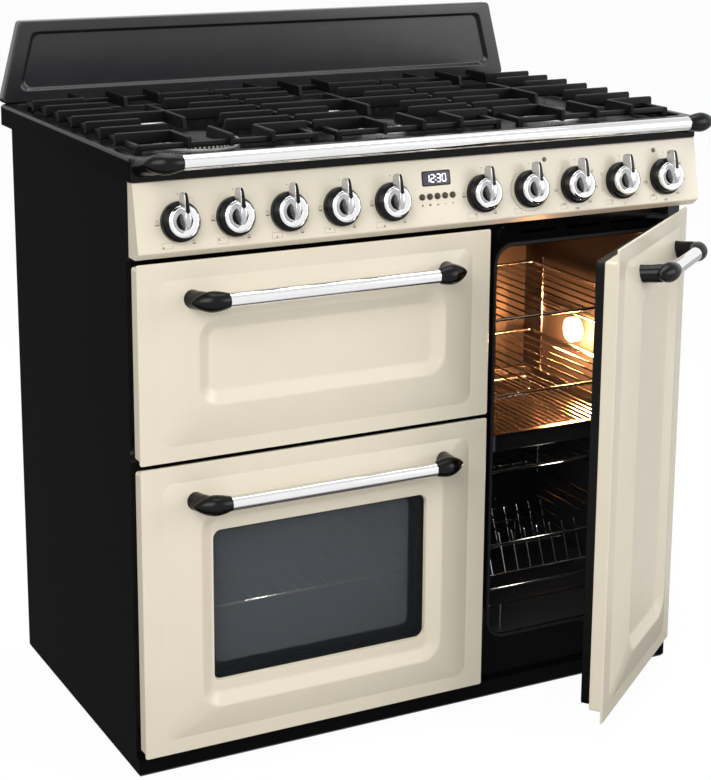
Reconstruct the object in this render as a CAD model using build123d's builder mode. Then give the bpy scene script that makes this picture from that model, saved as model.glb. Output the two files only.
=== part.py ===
from build123d import *

import os
from math import atan2, cos, sin

# Free-standing kitchen stove: gas hob, grill, main oven and tall side oven.
# Millimetres. X runs to the right, +Y to the wall behind, +Z up.
# The origin is on the floor under the middle of the casing.

# Casing
body_width = 894.0
body_depth = 492.0
panel_sheet = 1.5
floor_gap = 3.0
base_sheet = 4.0
plinth_height = 26.0
plinth_sheet = 2.0
frame_setback = 10.5
frame_sheet = 3.0
back_vent_shares = (0.35, 0.5, 0.65)
back_vents = 8
frame_vents = 3

# Hob tray and splashback
hob_side_overhang = 3.0
hob_front_overhang = 19.0
hob_back_overhang = 48.0
hob_top = 875.0
hob_edge = 32.0
hob_rim = 14.0
hob_well = 15.0
hob_sheet = 3.0
well_corner = 20.0
splash_height = 125.0
splash_taper = 32.5
splash_thickness = 18.0
splash_overhang = 8.0
splash_wall = 3.0
splash_corner = 8.0
splash_border_top = 17.0
splash_border_bottom = 18.0
splash_border_side = 24.0
splash_recess = 5.0
splash_recess_corner = 12.0
splash_recess_slope = 5.0

# Burners and pan supports
support_margin = 15.5
support_gap = 10.0
support_bar = 7.0
support_bar_height = 17.0
support_lift = 1.0
support_frame_bar = 9.0
support_frame_height = 8.0
support_front_gap = 17.0
support_back_gap = 34.0
finger_pitch_x = 61.0
fingers_between_burners = 4
burner_clear = 40.0
burner_setback = 155.0
burner_pitch = 232.0
burner_body_height = 8.0
burner_cap_height = 7.0
burner_cap_taper = 30.0
burner_skirt = 8.0
large_cap = 37.0
medium_cap = 35.0
small_cap = 27.0
wok_ring = 60.0
wok_ring_width = 9.0

# Hob rail
rail_standoff = 47.0
rail_drop = 2.0
rail_post_drop = 10.0
rail_radius = 10.0
rail_end_inset = 50.0

# Control panel
panel_height = 102.0
panel_gap = 5.5
panel_nose = 10.0
panel_nose_proud = 8.0
panel_nose_bevel = 13.0
panel_top_back = 10.0
panel_wall = 2.5
knobs_each_side = 5
knob_first = 73.0
knob_edge_inset = 60.0
knob_rise = -8.2
knob_gap = 1.0
skirt_radius = 26.3
skirt_height = 8.0
skirt_taper = 12.0
dome_radius = 20.5
dome_height = 6.0
dome_taper = 25.0
lever_reach = 38.0
lever_tail = 15.0
lever_tip_radius = 3.4
lever_root_radius = 3.9
lever_height = 25.0
stem_radius = 4.0
stem_depth = 9.0
running_fit = 0.05
display_width = 44.0
display_height = 20.0
display_rise = 19.0
window_fit = 0.1
button_radius = 4.5
button_count = 5
button_pitch = 12.2
button_rise = -6.0
button_proud = 2.5
button_flange = 1.0
button_flange_height = 1.5
lamp_radius = 3.5
lamp_rise = 32.0
lamp_proud = 1.0
grill_lamp_shift = 27.0
oven_lamp_shift = -19.0

# Doors
door_proud = 27.0
door_gap = 6.0
door_floor_gap = 12.0
main_door_share = 0.6038
left_door_share = 0.6001
stile_gap = 13.5
tall_door_side_gap = 4.0
lip_sheet = 3.0
lip_height = 5.0
tall_lip_height = 18.0
flange_sheet = 1.5
return_width = 22.0
skin_depth = 20.5
liner_depth = 14.5
liner_inset = 16.0
liner_end_inset = 12.0
tall_liner_end_inset = 3.0
liner_dish = 4.0
liner_dish_inset = 42.0
liner_sheet = 1.5
liner_wall = 3.0
field_inset = 30.0
field_top_inset = 24.0
field_bottom_inset = 22.0
field_rise = 12.5
field_corner = 8.0
recess_corner = 26.0
recess_inset = 50.5
recess_end_inset = 53.5
main_recess_end_inset = 41.0
recess_depth = 9.0
recess_bevel = 18.0
window_inset = 21.5
window_end_inset = 35.0
window_corner = 12.0
glass_sheet = 4.0
glass_overlap = 15.0
handle_drop = 48.0
handle_standoff = 45.0
handle_radius = 10.3
handle_inset = 109.0
tall_handle_shift = 14.0
end_post_at = 33.5
end_runs = (0.0, 8.0, 17.0, 27.0, 35.0, 42.0, 47.0)
end_radii = (10.8, 12.8, 13.5, 11.6, 8.4, 4.9, 1.8)
end_leans = (0.0, 0.0, 0.6, 2.0, 3.6, 5.4, 6.5)
post_radius = 12.3
post_foot_radius = 12.6

# Hinges
drop_pivot_depth = 17.0
drop_pivot_rise = 14.0
pin_radius = 3.0
eye_radius = 6.0
bracket_sheet = 4.0
bracket_side_gap = 1.0
eye_width = 7.0
notch_play = 2.0
bracket_foot = 12.0
bracket_foot_sheet = 1.4
tall_pivot_inset = 20.0
tall_pivot_depth = 9.0
tall_door_open = 37.5
tall_bracket_gap = 2.0
tall_bracket_reach = 24.0
tall_bracket_width = 26.0
tall_bracket_eye = 5.0
lug_width = 20.0
lug_height = 19.0
tall_liner_hinge_inset = 18.0
tall_liner_free_inset = 8.0

# Cavities
cavity_sheet = 1.5
cavity_back = 150.0
cavity_flange = 12.0
cavity_corner = 26.0
left_mouth_inset = 63.25
main_mouth_foot = 54.0
main_mouth_head = 30.5
grill_mouth_foot = 43.5
grill_mouth_head = 40.5
tall_mouth_left = 21.0
tall_mouth_right = 23.0
tall_mouth_foot = 56.0
tall_mouth_head = 37.5
seal_width = 4.0
seal_offset = 1.5
seal_height = 2.0
vent_width = 62.0
vent_height = 5.0
vent_pitch = 78.0
vent_rise = 20.0
boss_radius = 9.0
boss_height = 1.5

# Shelves and racks
wire = 4.0
fine_wire = 3.0
shelf_fit = 2.0
shelf_front = 27.5
shelf_depth = 318.0
ladder_front = 19.5
ladder_depth = 326.0
ladder_end = 12.0
ladder_stile_inset = 20.0
shelf_pitch = 59.2
tall_shelf_rise = 128.0
tall_rungs = 7
tall_shelf_levels = (0, 2, 4, 6)
tray_level = 3
tray_depth = 30.0
tray_sheet = 1.5
tray_rim = 10.0
trivet_feet = 12.0
shelf_wire_pitch = 24.0
main_shelf_rise = 58.0
main_rungs = 4
main_shelf_levels = (1, 3)
grill_shelf_rise = 55.0
rack_side_gap = 12.0
rack_height = 66.0
rack_rise = 31.0
rack_rail_gap = 25.0
rack_pitch = 24.0
rack_lean = 26.0
rack_rows = 2

# Fans, motors, elements and lamps
fan_radius = 70.0
fan_hub_radius = 11.0
fan_plate = 1.5
fan_blade = 14.0
fan_blade_sheet = 1.5
fan_blades = 12
shaft_radius = 4.0
shaft_clear = 2.0
shaft_proud = 2.0
motor_radius = 34.0
motor_length = 58.0
fan_wall_gap = 4.0
cover_sheet = 1.5
cover_gap = 4.0
cover_half = 95.0
cover_post_radius = 5.0
cover_post_inset = 16.0
cover_slot_width = 6.0
cover_slot_inner = 28.0
cover_slot_outer = 66.0
cover_slots = 16
tall_fan_rise = 376.0
element_radius = 3.5
element_drop = 22.0
element_reach = 300.0
element_runs = 6
element_pitch = 56.0
element_bend = 25.0
oven_lamp_radius = 20.0
oven_lamp_depth = 12.0
oven_lamp_setback = 123.0
tall_lamp_rung = 4
tall_lamp_rise = 29.6
main_lamp_rung = 3
main_lamp_rise = 32.4

# Gas inlet
gas_inlet_radius = 10.4
gas_inlet_length = 24.0
gas_inlet_side = 67.0
gas_inlet_drop = 185.0
gas_elbow_radius = 16.0
gas_elbow_depth = 4.0

# Places that follow from the sizes above
body_left = -body_width / 2
body_right = body_width / 2
body_front = -body_depth / 2
body_back = body_depth / 2
inner_left = body_left + panel_sheet
inner_right = body_right - panel_sheet
frame_front = body_front + frame_setback
frame_back = frame_front + frame_sheet
hob_width = body_width + 2 * hob_side_overhang
half_hob = hob_width / 2
hob_front = body_front - hob_front_overhang
hob_back = body_back + hob_back_overhang
hob_depth = hob_back - hob_front
hob_under = hob_top - hob_edge
well_floor = hob_top - hob_well
door_front = body_front - door_proud
lip_back = door_front + lip_sheet
skin_back = door_front + skin_depth
liner_back = skin_back + liner_depth
liner_floor = liner_back - liner_dish - liner_sheet
panel_top = hob_under
panel_bottom = panel_top - panel_height
main_door_bottom = plinth_height + door_floor_gap
grill_door_top = panel_bottom - panel_gap
left_doors_height = grill_door_top - main_door_bottom - door_gap
main_door_top = main_door_bottom + main_door_share * left_doors_height
grill_door_bottom = main_door_top + door_gap
left_door_right = body_left + left_door_share * body_width
left_door_middle = (body_left + left_door_right) / 2
tall_door_left = left_door_right + stile_gap
tall_door_right = body_right - tall_door_side_gap
nose_height = panel_bottom + panel_nose
nose_front = door_front - panel_nose_proud
panel_top_front = door_front + panel_top_back
handle_y = door_front - handle_standoff
drop_pivot_y = door_front + drop_pivot_depth
tall_pivot_x = tall_door_right - tall_pivot_inset
tall_pivot_y = door_front + tall_pivot_depth
tall_hinge_axis = Axis((tall_pivot_x, tall_pivot_y, 0), (0, 0, 1))
left_opening = (body_left + left_mouth_inset, left_door_right - left_mouth_inset)
tall_opening = (tall_door_left + tall_mouth_left, tall_door_right - tall_mouth_right)
main_opening_bottom = main_door_bottom + main_mouth_foot
main_opening_top = main_door_top - main_mouth_head
grill_opening_bottom = grill_door_bottom + grill_mouth_foot
grill_opening_top = grill_door_top - grill_mouth_head
tall_opening_bottom = main_door_bottom + tall_mouth_foot
tall_opening_top = grill_door_top - tall_mouth_head
tall_middle = (tall_opening[0] + tall_opening[1]) / 2
rail_y = hob_front - rail_standoff
rail_z = hob_top - rail_drop
half_rail = half_hob - rail_end_inset
support_bottom = hob_top + support_lift
support_pitch = (hob_width - 2 * support_margin + support_gap) / 3
support_front = hob_front + hob_rim + support_front_gap
support_back = hob_back - hob_rim - support_back_gap
front_burner_y = hob_front + burner_setback
rear_burner_y = front_burner_y + burner_pitch
finger_pitch_y = burner_pitch / fingers_between_burners
knob_pitch = (body_width / 2 - knob_edge_inset - knob_first) / (knobs_each_side - 1)

# Slanted face of the control panel: its middle, its tilt and its own plane
panel_tilt = atan2(panel_top_front - nose_front, panel_top - nose_height)
panel_face = Plane(
    origin=(0, (panel_top_front + nose_front) / 2, (panel_top + nose_height) / 2),
    x_dir=(1, 0, 0),
    z_dir=(0, -cos(panel_tilt), sin(panel_tilt)),
)

os.makedirs("parts", exist_ok=True)


def save(piece, name):
    """Labels a finished piece and writes it as its own file."""
    piece.part.label = name
    export_step(piece.part, f"parts/{name}.step")


def block(x0, x1, y0, y1, z0, z1, mode=Mode.ADD):
    """A box between two corners, in the part being built."""
    with Locations(((x0 + x1) / 2, (y0 + y1) / 2, (z0 + z1) / 2)):
        Box(x1 - x0, y1 - y0, z1 - z0, mode=mode)


def rod(start, end, radius, mode=Mode.ADD):
    """A round bar between two points, in the part being built."""
    run = Vector(*end) - Vector(*start)
    with BuildSketch(Plane(origin=start, z_dir=run.normalized())) as section:
        Circle(radius)
    extrude(section.sketch, amount=run.length, mode=mode)


def upright(y, x=0.0, z=0.0):
    """The upright plane at this depth, facing the front, with its zero at x and z."""
    return Plane(origin=(x, y, z), x_dir=(1, 0, 0), z_dir=(0, -1, 0))


def rounded(x0, x1, z0, z1, radius):
    """A rounded rectangle between two corners, in the sketch being drawn."""
    with Locations(((x0 + x1) / 2, (z0 + z1) / 2)):
        RectangleRounded(x1 - x0, z1 - z0, radius)


def on_panel(x, rise, out=0.0):
    """The plane of a control at this place on the slanted panel face."""
    return Plane(
        origin=panel_face.from_local_coords(Vector(x, rise, out)),
        x_dir=panel_face.x_dir,
        z_dir=panel_face.z_dir,
    )


def disc(plane, radius, height, mode=Mode.ADD):
    """A round plate standing on a plane, in the part being built."""
    with BuildSketch(plane) as section:
        Circle(radius)
    extrude(section.sketch, amount=height, mode=mode)


# Side panels: folded sheet, tucked up inside the skirt of the hob, cut back beside the doors
for side, edge in (("left", body_left), ("right", inner_right)):
    with BuildPart() as side_panel:
        sheet = (edge, edge + panel_sheet)
        block(*sheet, frame_front, body_back, floor_gap, hob_top - hob_sheet)
        block(*sheet, body_front, frame_front, floor_gap, plinth_height)
        block(*sheet, body_front, frame_front, panel_bottom, hob_top - hob_sheet)
    save(side_panel, f"side_panel_{side}")

# Back panel with rows of cooling slots and the threaded gas inlet
back_front = body_back - panel_sheet
gas_inlet_x = body_right - gas_inlet_side
gas_inlet_height = hob_top - gas_inlet_drop
with BuildPart() as back_panel:
    block(inner_left, inner_right, back_front, body_back, floor_gap, well_floor - hob_sheet)
    for share in back_vent_shares:
        with BuildSketch(upright(body_back)):
            with Locations((0, share * well_floor)):
                with GridLocations(vent_pitch, vent_pitch, back_vents, 1):
                    SlotOverall(vent_width, vent_height)
        extrude(amount=panel_sheet, mode=Mode.SUBTRACT)
    inlet_foot = (gas_inlet_x, body_back, gas_inlet_height)
    inlet_neck = (gas_inlet_x, body_back + gas_elbow_depth, gas_inlet_height)
    inlet_end = (gas_inlet_x, body_back + gas_elbow_depth + gas_inlet_length, gas_inlet_height)
    rod(inlet_foot, inlet_neck, gas_elbow_radius)
    rod(inlet_neck, inlet_end, gas_inlet_radius)
save(back_panel, "back_panel")

# Plinth: front sheet with a top shelf that the front frame stands on
with BuildPart() as plinth:
    block(inner_left, inner_right, body_front, body_front + plinth_sheet, floor_gap, plinth_height)
    block(inner_left, inner_right, body_front, frame_back, plinth_height - plinth_sheet, plinth_height)
save(plinth, "plinth")

# Base tray: upturned pan whose rim stands on the floor behind the plinth
plinth_back = body_front + plinth_sheet
base_top = plinth_height - plinth_sheet
with BuildPart() as base_tray:
    block(inner_left, inner_right, plinth_back, back_front, 0, base_top)
    block(
        inner_left + base_sheet,
        inner_right - base_sheet,
        plinth_back + base_sheet,
        back_front - base_sheet,
        0,
        base_top - base_sheet,
        mode=Mode.SUBTRACT,
    )
save(base_tray, "base_tray")

# Front frame: black plate with the three oven mouths, vent slots and a round boss
mouths = (
    (*left_opening, grill_opening_bottom, grill_opening_top),
    (*left_opening, main_opening_bottom, main_opening_top),
    (*tall_opening, tall_opening_bottom, tall_opening_top),
)
vent_z = tall_opening_top + vent_rise
with BuildPart() as front_frame:
    block(inner_left, inner_right, frame_front, frame_back, plinth_height, panel_bottom)
    for mouth in mouths:
        with BuildSketch(upright(frame_back)):
            rounded(*mouth, cavity_corner)
        extrude(amount=frame_sheet, mode=Mode.SUBTRACT)
    with BuildSketch(upright(frame_back)):
        with Locations((tall_middle, vent_z)):
            with GridLocations(vent_pitch, vent_pitch, frame_vents, 1):
                SlotOverall(vent_width, vent_height)
    extrude(amount=frame_sheet, mode=Mode.SUBTRACT)
    disc(upright(frame_front, tall_opening[0] + boss_radius, vent_z), boss_radius, boss_height)
save(front_frame, "front_frame")

# Oven cavities: enamelled boxes flanged to the back of the front frame
wall_y = cavity_back - cavity_sheet
main_middle_z = (main_opening_bottom + main_opening_top) / 2
fan_places = {
    "main": (left_door_middle, main_middle_z),
    "tall": (tall_middle, tall_opening_bottom + tall_fan_rise),
}


def cavity(mouth, shaft_place=None):
    """An enamelled oven box, open at the front, with a hole for the fan's shaft."""
    x0, x1, z0, z1 = mouth
    skin = cavity_sheet
    rim = cavity_sheet + cavity_flange
    with BuildPart() as box:
        with BuildSketch(upright(cavity_back)):
            rounded(x0 - skin, x1 + skin, z0 - skin, z1 + skin, cavity_corner + skin)
        extrude(amount=cavity_back - frame_back)
        with BuildSketch(upright(frame_back + skin)):
            rounded(x0 - rim, x1 + rim, z0 - rim, z1 + rim, cavity_corner + rim)
        extrude(amount=skin)
        with BuildSketch(upright(wall_y)):
            rounded(x0, x1, z0, z1, cavity_corner)
        extrude(amount=wall_y - frame_back, mode=Mode.SUBTRACT)
        if shaft_place:
            with BuildSketch(upright(cavity_back)):
                with Locations(shaft_place):
                    Circle(shaft_radius + shaft_clear)
            extrude(amount=skin, mode=Mode.SUBTRACT)
    return box


grill_cavity = cavity(mouths[0])
save(grill_cavity, "grill_cavity")
main_cavity = cavity(mouths[1], fan_places["main"])
save(main_cavity, "main_cavity")
tall_cavity = cavity(mouths[2], fan_places["tall"])
save(tall_cavity, "tall_cavity")

# Door seals: rubber rings round each oven mouth
with BuildPart() as cavity_seals:
    for x0, x1, z0, z1 in mouths:
        near = seal_offset
        far = seal_offset + seal_width
        with BuildSketch(upright(frame_front)):
            rounded(x0 - far, x1 + far, z0 - far, z1 + far, cavity_corner + far)
            with Locations(((x0 + x1) / 2, (z0 + z1) / 2)):
                RectangleRounded(
                    x1 - x0 + 2 * near, z1 - z0 + 2 * near, cavity_corner + near, mode=Mode.SUBTRACT
                )
        extrude(amount=seal_height)
save(cavity_seals, "cavity_seals")

# Fans: each motor stands on the back wall and its shaft carries the fan wheel
fan_back = wall_y - fan_wall_gap
fan_front = fan_back - fan_plate - fan_blade
shaft_end = fan_front - shaft_proud
cover_y = shaft_end - cover_gap
with BuildPart() as fan_motors:
    for x, z in fan_places.values():
        rod((x, cavity_back, z), (x, cavity_back + motor_length, z), motor_radius)
        rod((x, cavity_back, z), (x, shaft_end, z), shaft_radius)
save(fan_motors, "fan_motors")


def fan_wheel(place):
    """A round plate with straight blades and a hub bored for the motor's shaft."""
    x, z = place
    blade_run = fan_radius - fan_hub_radius
    with BuildPart() as wheel:
        disc(upright(fan_back, x, z), fan_radius, fan_plate)
        disc(upright(fan_back, x, z), fan_hub_radius, fan_plate + fan_blade)
        with BuildSketch(upright(fan_back - fan_plate, x, z)):
            with PolarLocations(fan_radius - blade_run / 2, fan_blades):
                Rectangle(blade_run + fan_blade_sheet, fan_blade_sheet)
        extrude(amount=fan_blade)
        bore = shaft_radius + running_fit
        disc(upright(fan_back, x, z), bore, fan_plate + fan_blade, mode=Mode.SUBTRACT)
    return wheel


for oven, place in fan_places.items():
    save(fan_wheel(place), f"{oven}_fan")

# Fan covers: slotted plates on four posts in front of the fans
with BuildPart() as fan_covers:
    slot_run = cover_slot_outer - cover_slot_inner
    for x, z in fan_places.values():
        with BuildSketch(upright(cover_y)):
            rounded(x - cover_half, x + cover_half, z - cover_half, z + cover_half, cover_post_inset)
            with Locations((x, z)):
                with PolarLocations(cover_slot_inner + slot_run / 2, cover_slots):
                    SlotOverall(slot_run, cover_slot_width, mode=Mode.SUBTRACT)
        extrude(amount=cover_sheet)
        post_at = cover_half - cover_post_inset
        for post_x in (x - post_at, x + post_at):
            for post_z in (z - post_at, z + post_at):
                rod((post_x, cover_y, post_z), (post_x, wall_y, post_z), cover_post_radius)
save(fan_covers, "fan_covers")

# Heating elements: rods bent to and fro under the roofs of the grill and the main oven
with BuildPart() as oven_elements:
    for roof in (grill_opening_top, main_opening_top):
        level = roof - element_drop
        span = element_pitch * (element_runs - 1)
        first_x = left_door_middle - span / 2
        corners = []
        for run in range(element_runs):
            x = first_x + run * element_pitch
            ends = (wall_y - 2 * element_pitch, wall_y - element_reach)
            if run % 2:
                ends = ends[::-1]
            corners += [(x, ends[0], level), (x, ends[1], level)]
        corners[0] = (corners[0][0], wall_y, level)
        corners[-1] = (corners[-1][0], wall_y, level)
        with BuildLine() as route:
            FilletPolyline(*corners, radius=element_bend)
        with BuildSketch(Plane(origin=corners[0], z_dir=(0, -1, 0))):
            Circle(element_radius)
        sweep(path=route.line)
save(oven_elements, "oven_elements")

# Side ladders: wire frames hung on the oven walls, with rungs that carry the shelves
ladder_y = (frame_back + ladder_front, frame_back + ladder_front + ladder_depth)
shelf_y = (frame_back + shelf_front, frame_back + shelf_front + shelf_depth)
tall_levels = [tall_opening_bottom + tall_shelf_rise + k * shelf_pitch for k in range(tall_rungs)]
main_levels = [main_opening_bottom + main_shelf_rise + k * shelf_pitch for k in range(main_rungs)]
grill_levels = [grill_opening_bottom + grill_shelf_rise]
ladder_sets = (
    (tall_opening, tall_levels),
    (left_opening, main_levels),
    (left_opening, grill_levels),
)
with BuildPart() as shelf_ladders:
    for opening, levels in ladder_sets:
        for wall_x, inward in ((opening[0], 1), (opening[1], -1)):
            near = wall_x + inward * wire
            stile = sorted((wall_x, near))
            rung = sorted((near, near + inward * wire))
            low = levels[0] - ladder_end
            high = levels[-1] + ladder_end
            for y in (ladder_y[0] + ladder_stile_inset, ladder_y[1] - ladder_stile_inset):
                block(*stile, y, y + wire, low, high)
            for level in levels:
                block(*rung, *ladder_y, level - wire, level)
save(shelf_ladders, "shelf_ladders")

# Lamps: glass covers on the right-hand wall of the tall and the main oven, above a rung
lamp_y = ladder_y[1] - oven_lamp_setback
lamp_walls = (
    (tall_opening[1], tall_levels[tall_lamp_rung] + tall_lamp_rise),
    (left_opening[1], main_levels[main_lamp_rung] + main_lamp_rise),
)
with BuildPart() as oven_lamps:
    for wall_x, level in lamp_walls:
        rod((wall_x, lamp_y, level), (wall_x - oven_lamp_depth, lamp_y, level), oven_lamp_radius)
save(oven_lamps, "oven_lamps")


def wire_grid(x0, x1, y0, y1, z, pitch):
    """A flat wire shelf: a stout frame with fine wires from front to back."""
    count = int((x1 - x0) / pitch)
    with BuildSketch(Plane.XY.offset(z)) as grid:
        with Locations(((x0 + x1) / 2, (y0 + y1) / 2)):
            Rectangle(x1 - x0, y1 - y0)
            Rectangle(x1 - x0 - 2 * wire, y1 - y0 - 2 * wire, mode=Mode.SUBTRACT)
            with GridLocations(pitch, 1, count - 1, 1):
                Rectangle(fine_wire, y1 - y0)
    extrude(grid.sketch, amount=wire)


# Wire shelves, and the trivet that stands in the roasting tray
tray_x = (tall_opening[0] + wire + shelf_fit, tall_opening[1] - wire - shelf_fit)
tray_level_z = tall_levels[tray_level]
tray_floor = tray_level_z - tray_depth + tray_sheet
with BuildPart() as oven_shelves:
    for k in tall_shelf_levels:
        wire_grid(*tray_x, *shelf_y, tall_levels[k], shelf_wire_pitch)
    left_x = (left_opening[0] + wire + shelf_fit, left_opening[1] - wire - shelf_fit)
    for k in main_shelf_levels:
        wire_grid(*left_x, *shelf_y, main_levels[k], shelf_wire_pitch)
    wire_grid(*left_x, *shelf_y, grill_levels[0], shelf_wire_pitch)
    trivet_x = (tray_x[0] + 2 * tray_rim, tray_x[1] - 2 * tray_rim)
    trivet_y = (shelf_y[0] + 2 * tray_rim, shelf_y[1] - 2 * tray_rim)
    wire_grid(*trivet_x, *trivet_y, tray_floor + trivet_feet, shelf_wire_pitch / 2)
    for x in (trivet_x[0], trivet_x[1] - wire):
        for y in (trivet_y[0], trivet_y[1] - wire):
            block(x, x + wire, y, y + wire, tray_floor, tray_floor + trivet_feet)
save(oven_shelves, "oven_shelves")

# Roasting tray: pressed pan whose rim hangs on the rungs
with BuildPart() as roasting_tray:
    inner = (tray_x[0] + tray_rim, tray_x[1] - tray_rim, shelf_y[0] + tray_rim, shelf_y[1] - tray_rim)
    block(*tray_x, *shelf_y, tray_level_z, tray_level_z + tray_sheet)
    block(*inner, tray_level_z - tray_depth, tray_level_z)
    block(
        inner[0] + tray_sheet,
        inner[1] - tray_sheet,
        inner[2] + tray_sheet,
        inner[3] - tray_sheet,
        tray_floor,
        tray_level_z + tray_sheet,
        mode=Mode.SUBTRACT,
    )
save(roasting_tray, "roasting_tray")

# Plate rack on the floor of the tall oven: a frame on feet with leaning upright wires
rack_x = (tall_opening[0] + rack_side_gap, tall_opening[1] - rack_side_gap)
rack_y = (shelf_y[0], shelf_y[1] - rack_side_gap)
rack_floor = tall_opening_bottom
rack_posts = int((rack_x[1] - rack_x[0]) / rack_pitch) - 1
with BuildPart() as plate_rack:
    frame_z = rack_floor + rack_rise
    rack_rail_z = frame_z + rack_rail_gap
    for z in (frame_z, rack_rail_z):
        block(*rack_x, rack_y[0], rack_y[0] + wire, z, z + wire)
    block(*rack_x, rack_y[1] - wire, rack_y[1], frame_z, frame_z + wire)
    row_gap = (rack_y[1] - rack_y[0] - wire) / (rack_rows + 1)
    post_x = rack_x[0] + (rack_x[1] - rack_x[0] - rack_pitch * (rack_posts - 1)) / 2
    for row in range(1, rack_rows + 1):
        y = rack_y[0] + row * row_gap
        block(*rack_x, y, y + wire, frame_z, frame_z + wire)
        for k in range(rack_posts):
            x = post_x + k * rack_pitch
            root = (x, y + wire / 2, frame_z + wire / 2)
            rod(root, (x, y + wire / 2 + rack_lean, frame_z + rack_height), fine_wire / 2)
    for x in (rack_x[0], rack_x[1] - wire):
        block(x, x + wire, *rack_y, frame_z, frame_z + wire)
        block(x, x + wire, rack_y[0], rack_y[0] + wire, frame_z, rack_rail_z + wire)
        for y in (rack_y[0], rack_y[1] - wire):
            foot = x + cavity_corner if x < tall_middle else x - cavity_corner
            block(foot, foot + wire, y, y + wire, rack_floor, frame_z)
save(plate_rack, "plate_rack")

# Hob: pressed tray with a rim, a skirt and a sunken well
hob_middle_y = (hob_front + hob_back) / 2
well_width = hob_width - 2 * hob_rim
well_depth = hob_depth - 2 * hob_rim
with BuildPart() as hob_tray:
    block(-half_hob, half_hob, hob_front, hob_back, hob_under, hob_top)
    skirt_inside = (
        -half_hob + hob_sheet, half_hob - hob_sheet, hob_front + hob_sheet, hob_back - hob_sheet
    )
    block(*skirt_inside, hob_under, hob_top - hob_sheet, mode=Mode.SUBTRACT)
    with BuildSketch(Plane.XY.offset(well_floor - hob_sheet)):
        with Locations((0, hob_middle_y)):
            RectangleRounded(well_width + 2 * hob_sheet, well_depth + 2 * hob_sheet, well_corner)
    extrude(amount=hob_well)
    with BuildSketch(Plane.XY.offset(well_floor)):
        with Locations((0, hob_middle_y)):
            RectangleRounded(well_width, well_depth, well_corner)
    extrude(amount=hob_well, mode=Mode.SUBTRACT)
save(hob_tray, "hob_tray")

# Burners: aluminium bodies with enamelled caps, two under each pan support
burners = (
    (-support_pitch, front_burner_y, large_cap),
    (-support_pitch, rear_burner_y, medium_cap),
    (0, front_burner_y, small_cap),
    (0, rear_burner_y, medium_cap),
    (support_pitch, front_burner_y, medium_cap),
    (support_pitch, rear_burner_y, small_cap),
)
cap_z = well_floor + burner_body_height
with BuildPart() as burner_bodies:
    for x, y, radius in burners:
        half_body = burner_body_height / 2
        seat = Plane.XY.move(Location((x, y, well_floor)))
        if radius == large_cap:
            disc(seat, wok_ring, burner_body_height)
            disc(seat, wok_ring - wok_ring_width, burner_body_height, mode=Mode.SUBTRACT)
            disc(seat, wok_ring, half_body)
        else:
            disc(seat, radius + burner_skirt, half_body)
        disc(seat, radius - burner_skirt / 2, burner_body_height)
save(burner_bodies, "burner_bodies")

with BuildPart() as burner_caps:
    for x, y, radius in burners:
        with BuildSketch(Plane.XY.move(Location((x, y, cap_z)))):
            Circle(radius)
        extrude(amount=burner_cap_height, taper=burner_cap_taper)
save(burner_caps, "burner_caps")


def pan_support(middle):
    """A cast-iron grate: a low frame with fingers from its sides, front and back."""
    half = (support_pitch - support_gap) / 2
    reach = half - support_frame_bar
    bar = support_bar / 2
    bridge_y = (front_burner_y + rear_burner_y) / 2
    frame = support_frame_bar
    frame_x = (middle - reach, middle + reach)
    frame_y = (support_front + frame, support_back - frame)

    def patch(x0, x1, y0, y1, mode=Mode.ADD):
        with Locations(((x0 + x1) / 2, (y0 + y1) / 2)):
            Rectangle(abs(x1 - x0), abs(y1 - y0), mode=mode)

    def across(y, start):
        patch(middle - half, middle - start, y - bar, y + bar)
        patch(middle + start, middle + half, y - bar, y + bar)

    def along(x, start, end):
        patch(middle + x - bar, middle + x + bar, start, end)

    with BuildPart() as grate:
        with BuildSketch(Plane.XY.offset(support_bottom)):
            patch(middle - half, middle + half, bridge_y - bar, bridge_y + bar)
            for burner_y in (front_burner_y, rear_burner_y):
                across(burner_y, burner_clear)
                across(burner_y - finger_pitch_y, finger_pitch_x - bar)
                across(burner_y + finger_pitch_y, finger_pitch_x - bar)
            for x in (-finger_pitch_x, 0, finger_pitch_x):
                stop = burner_clear if x == 0 else finger_pitch_y - bar
                along(x, support_front, front_burner_y - stop)
                along(x, support_back, rear_burner_y + stop)
            along(0, front_burner_y + burner_clear, rear_burner_y - burner_clear)
        extrude(amount=support_bar_height)
        with BuildSketch(Plane.XY.offset(support_bottom)):
            patch(*frame_x, *frame_y)
            inner_y = (frame_y[0] + frame, frame_y[1] - frame)
            patch(frame_x[0] + frame, frame_x[1] - frame, *inner_y, mode=Mode.SUBTRACT)
        extrude(amount=support_frame_height)
        with BuildSketch(Plane.XY.offset(well_floor)):
            for x in (frame_x[0], frame_x[1] - frame):
                patch(x, x + frame, frame_y[0], frame_y[0] + frame)
                patch(x, x + frame, frame_y[1] - frame, frame_y[1])
        extrude(amount=support_bottom + support_frame_height - well_floor)
    return grate


for name, middle in (("left", -support_pitch), ("middle", 0.0), ("right", support_pitch)):
    save(pan_support(middle), f"pan_support_{name}")

# Splashback: tapered pressed panel with a recessed field, standing on the hob's rear rim
splash_back = hob_back + splash_overhang
splash_front = splash_back - splash_thickness
splash_top = hob_top + splash_height
half_top = half_hob - splash_taper
side_lean = (half_hob - half_top) / splash_height


def splash_half(z, inset):
    """Half the width of the tapered panel at a height, less an inset."""
    return half_hob - (z - hob_top) * side_lean - inset


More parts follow.
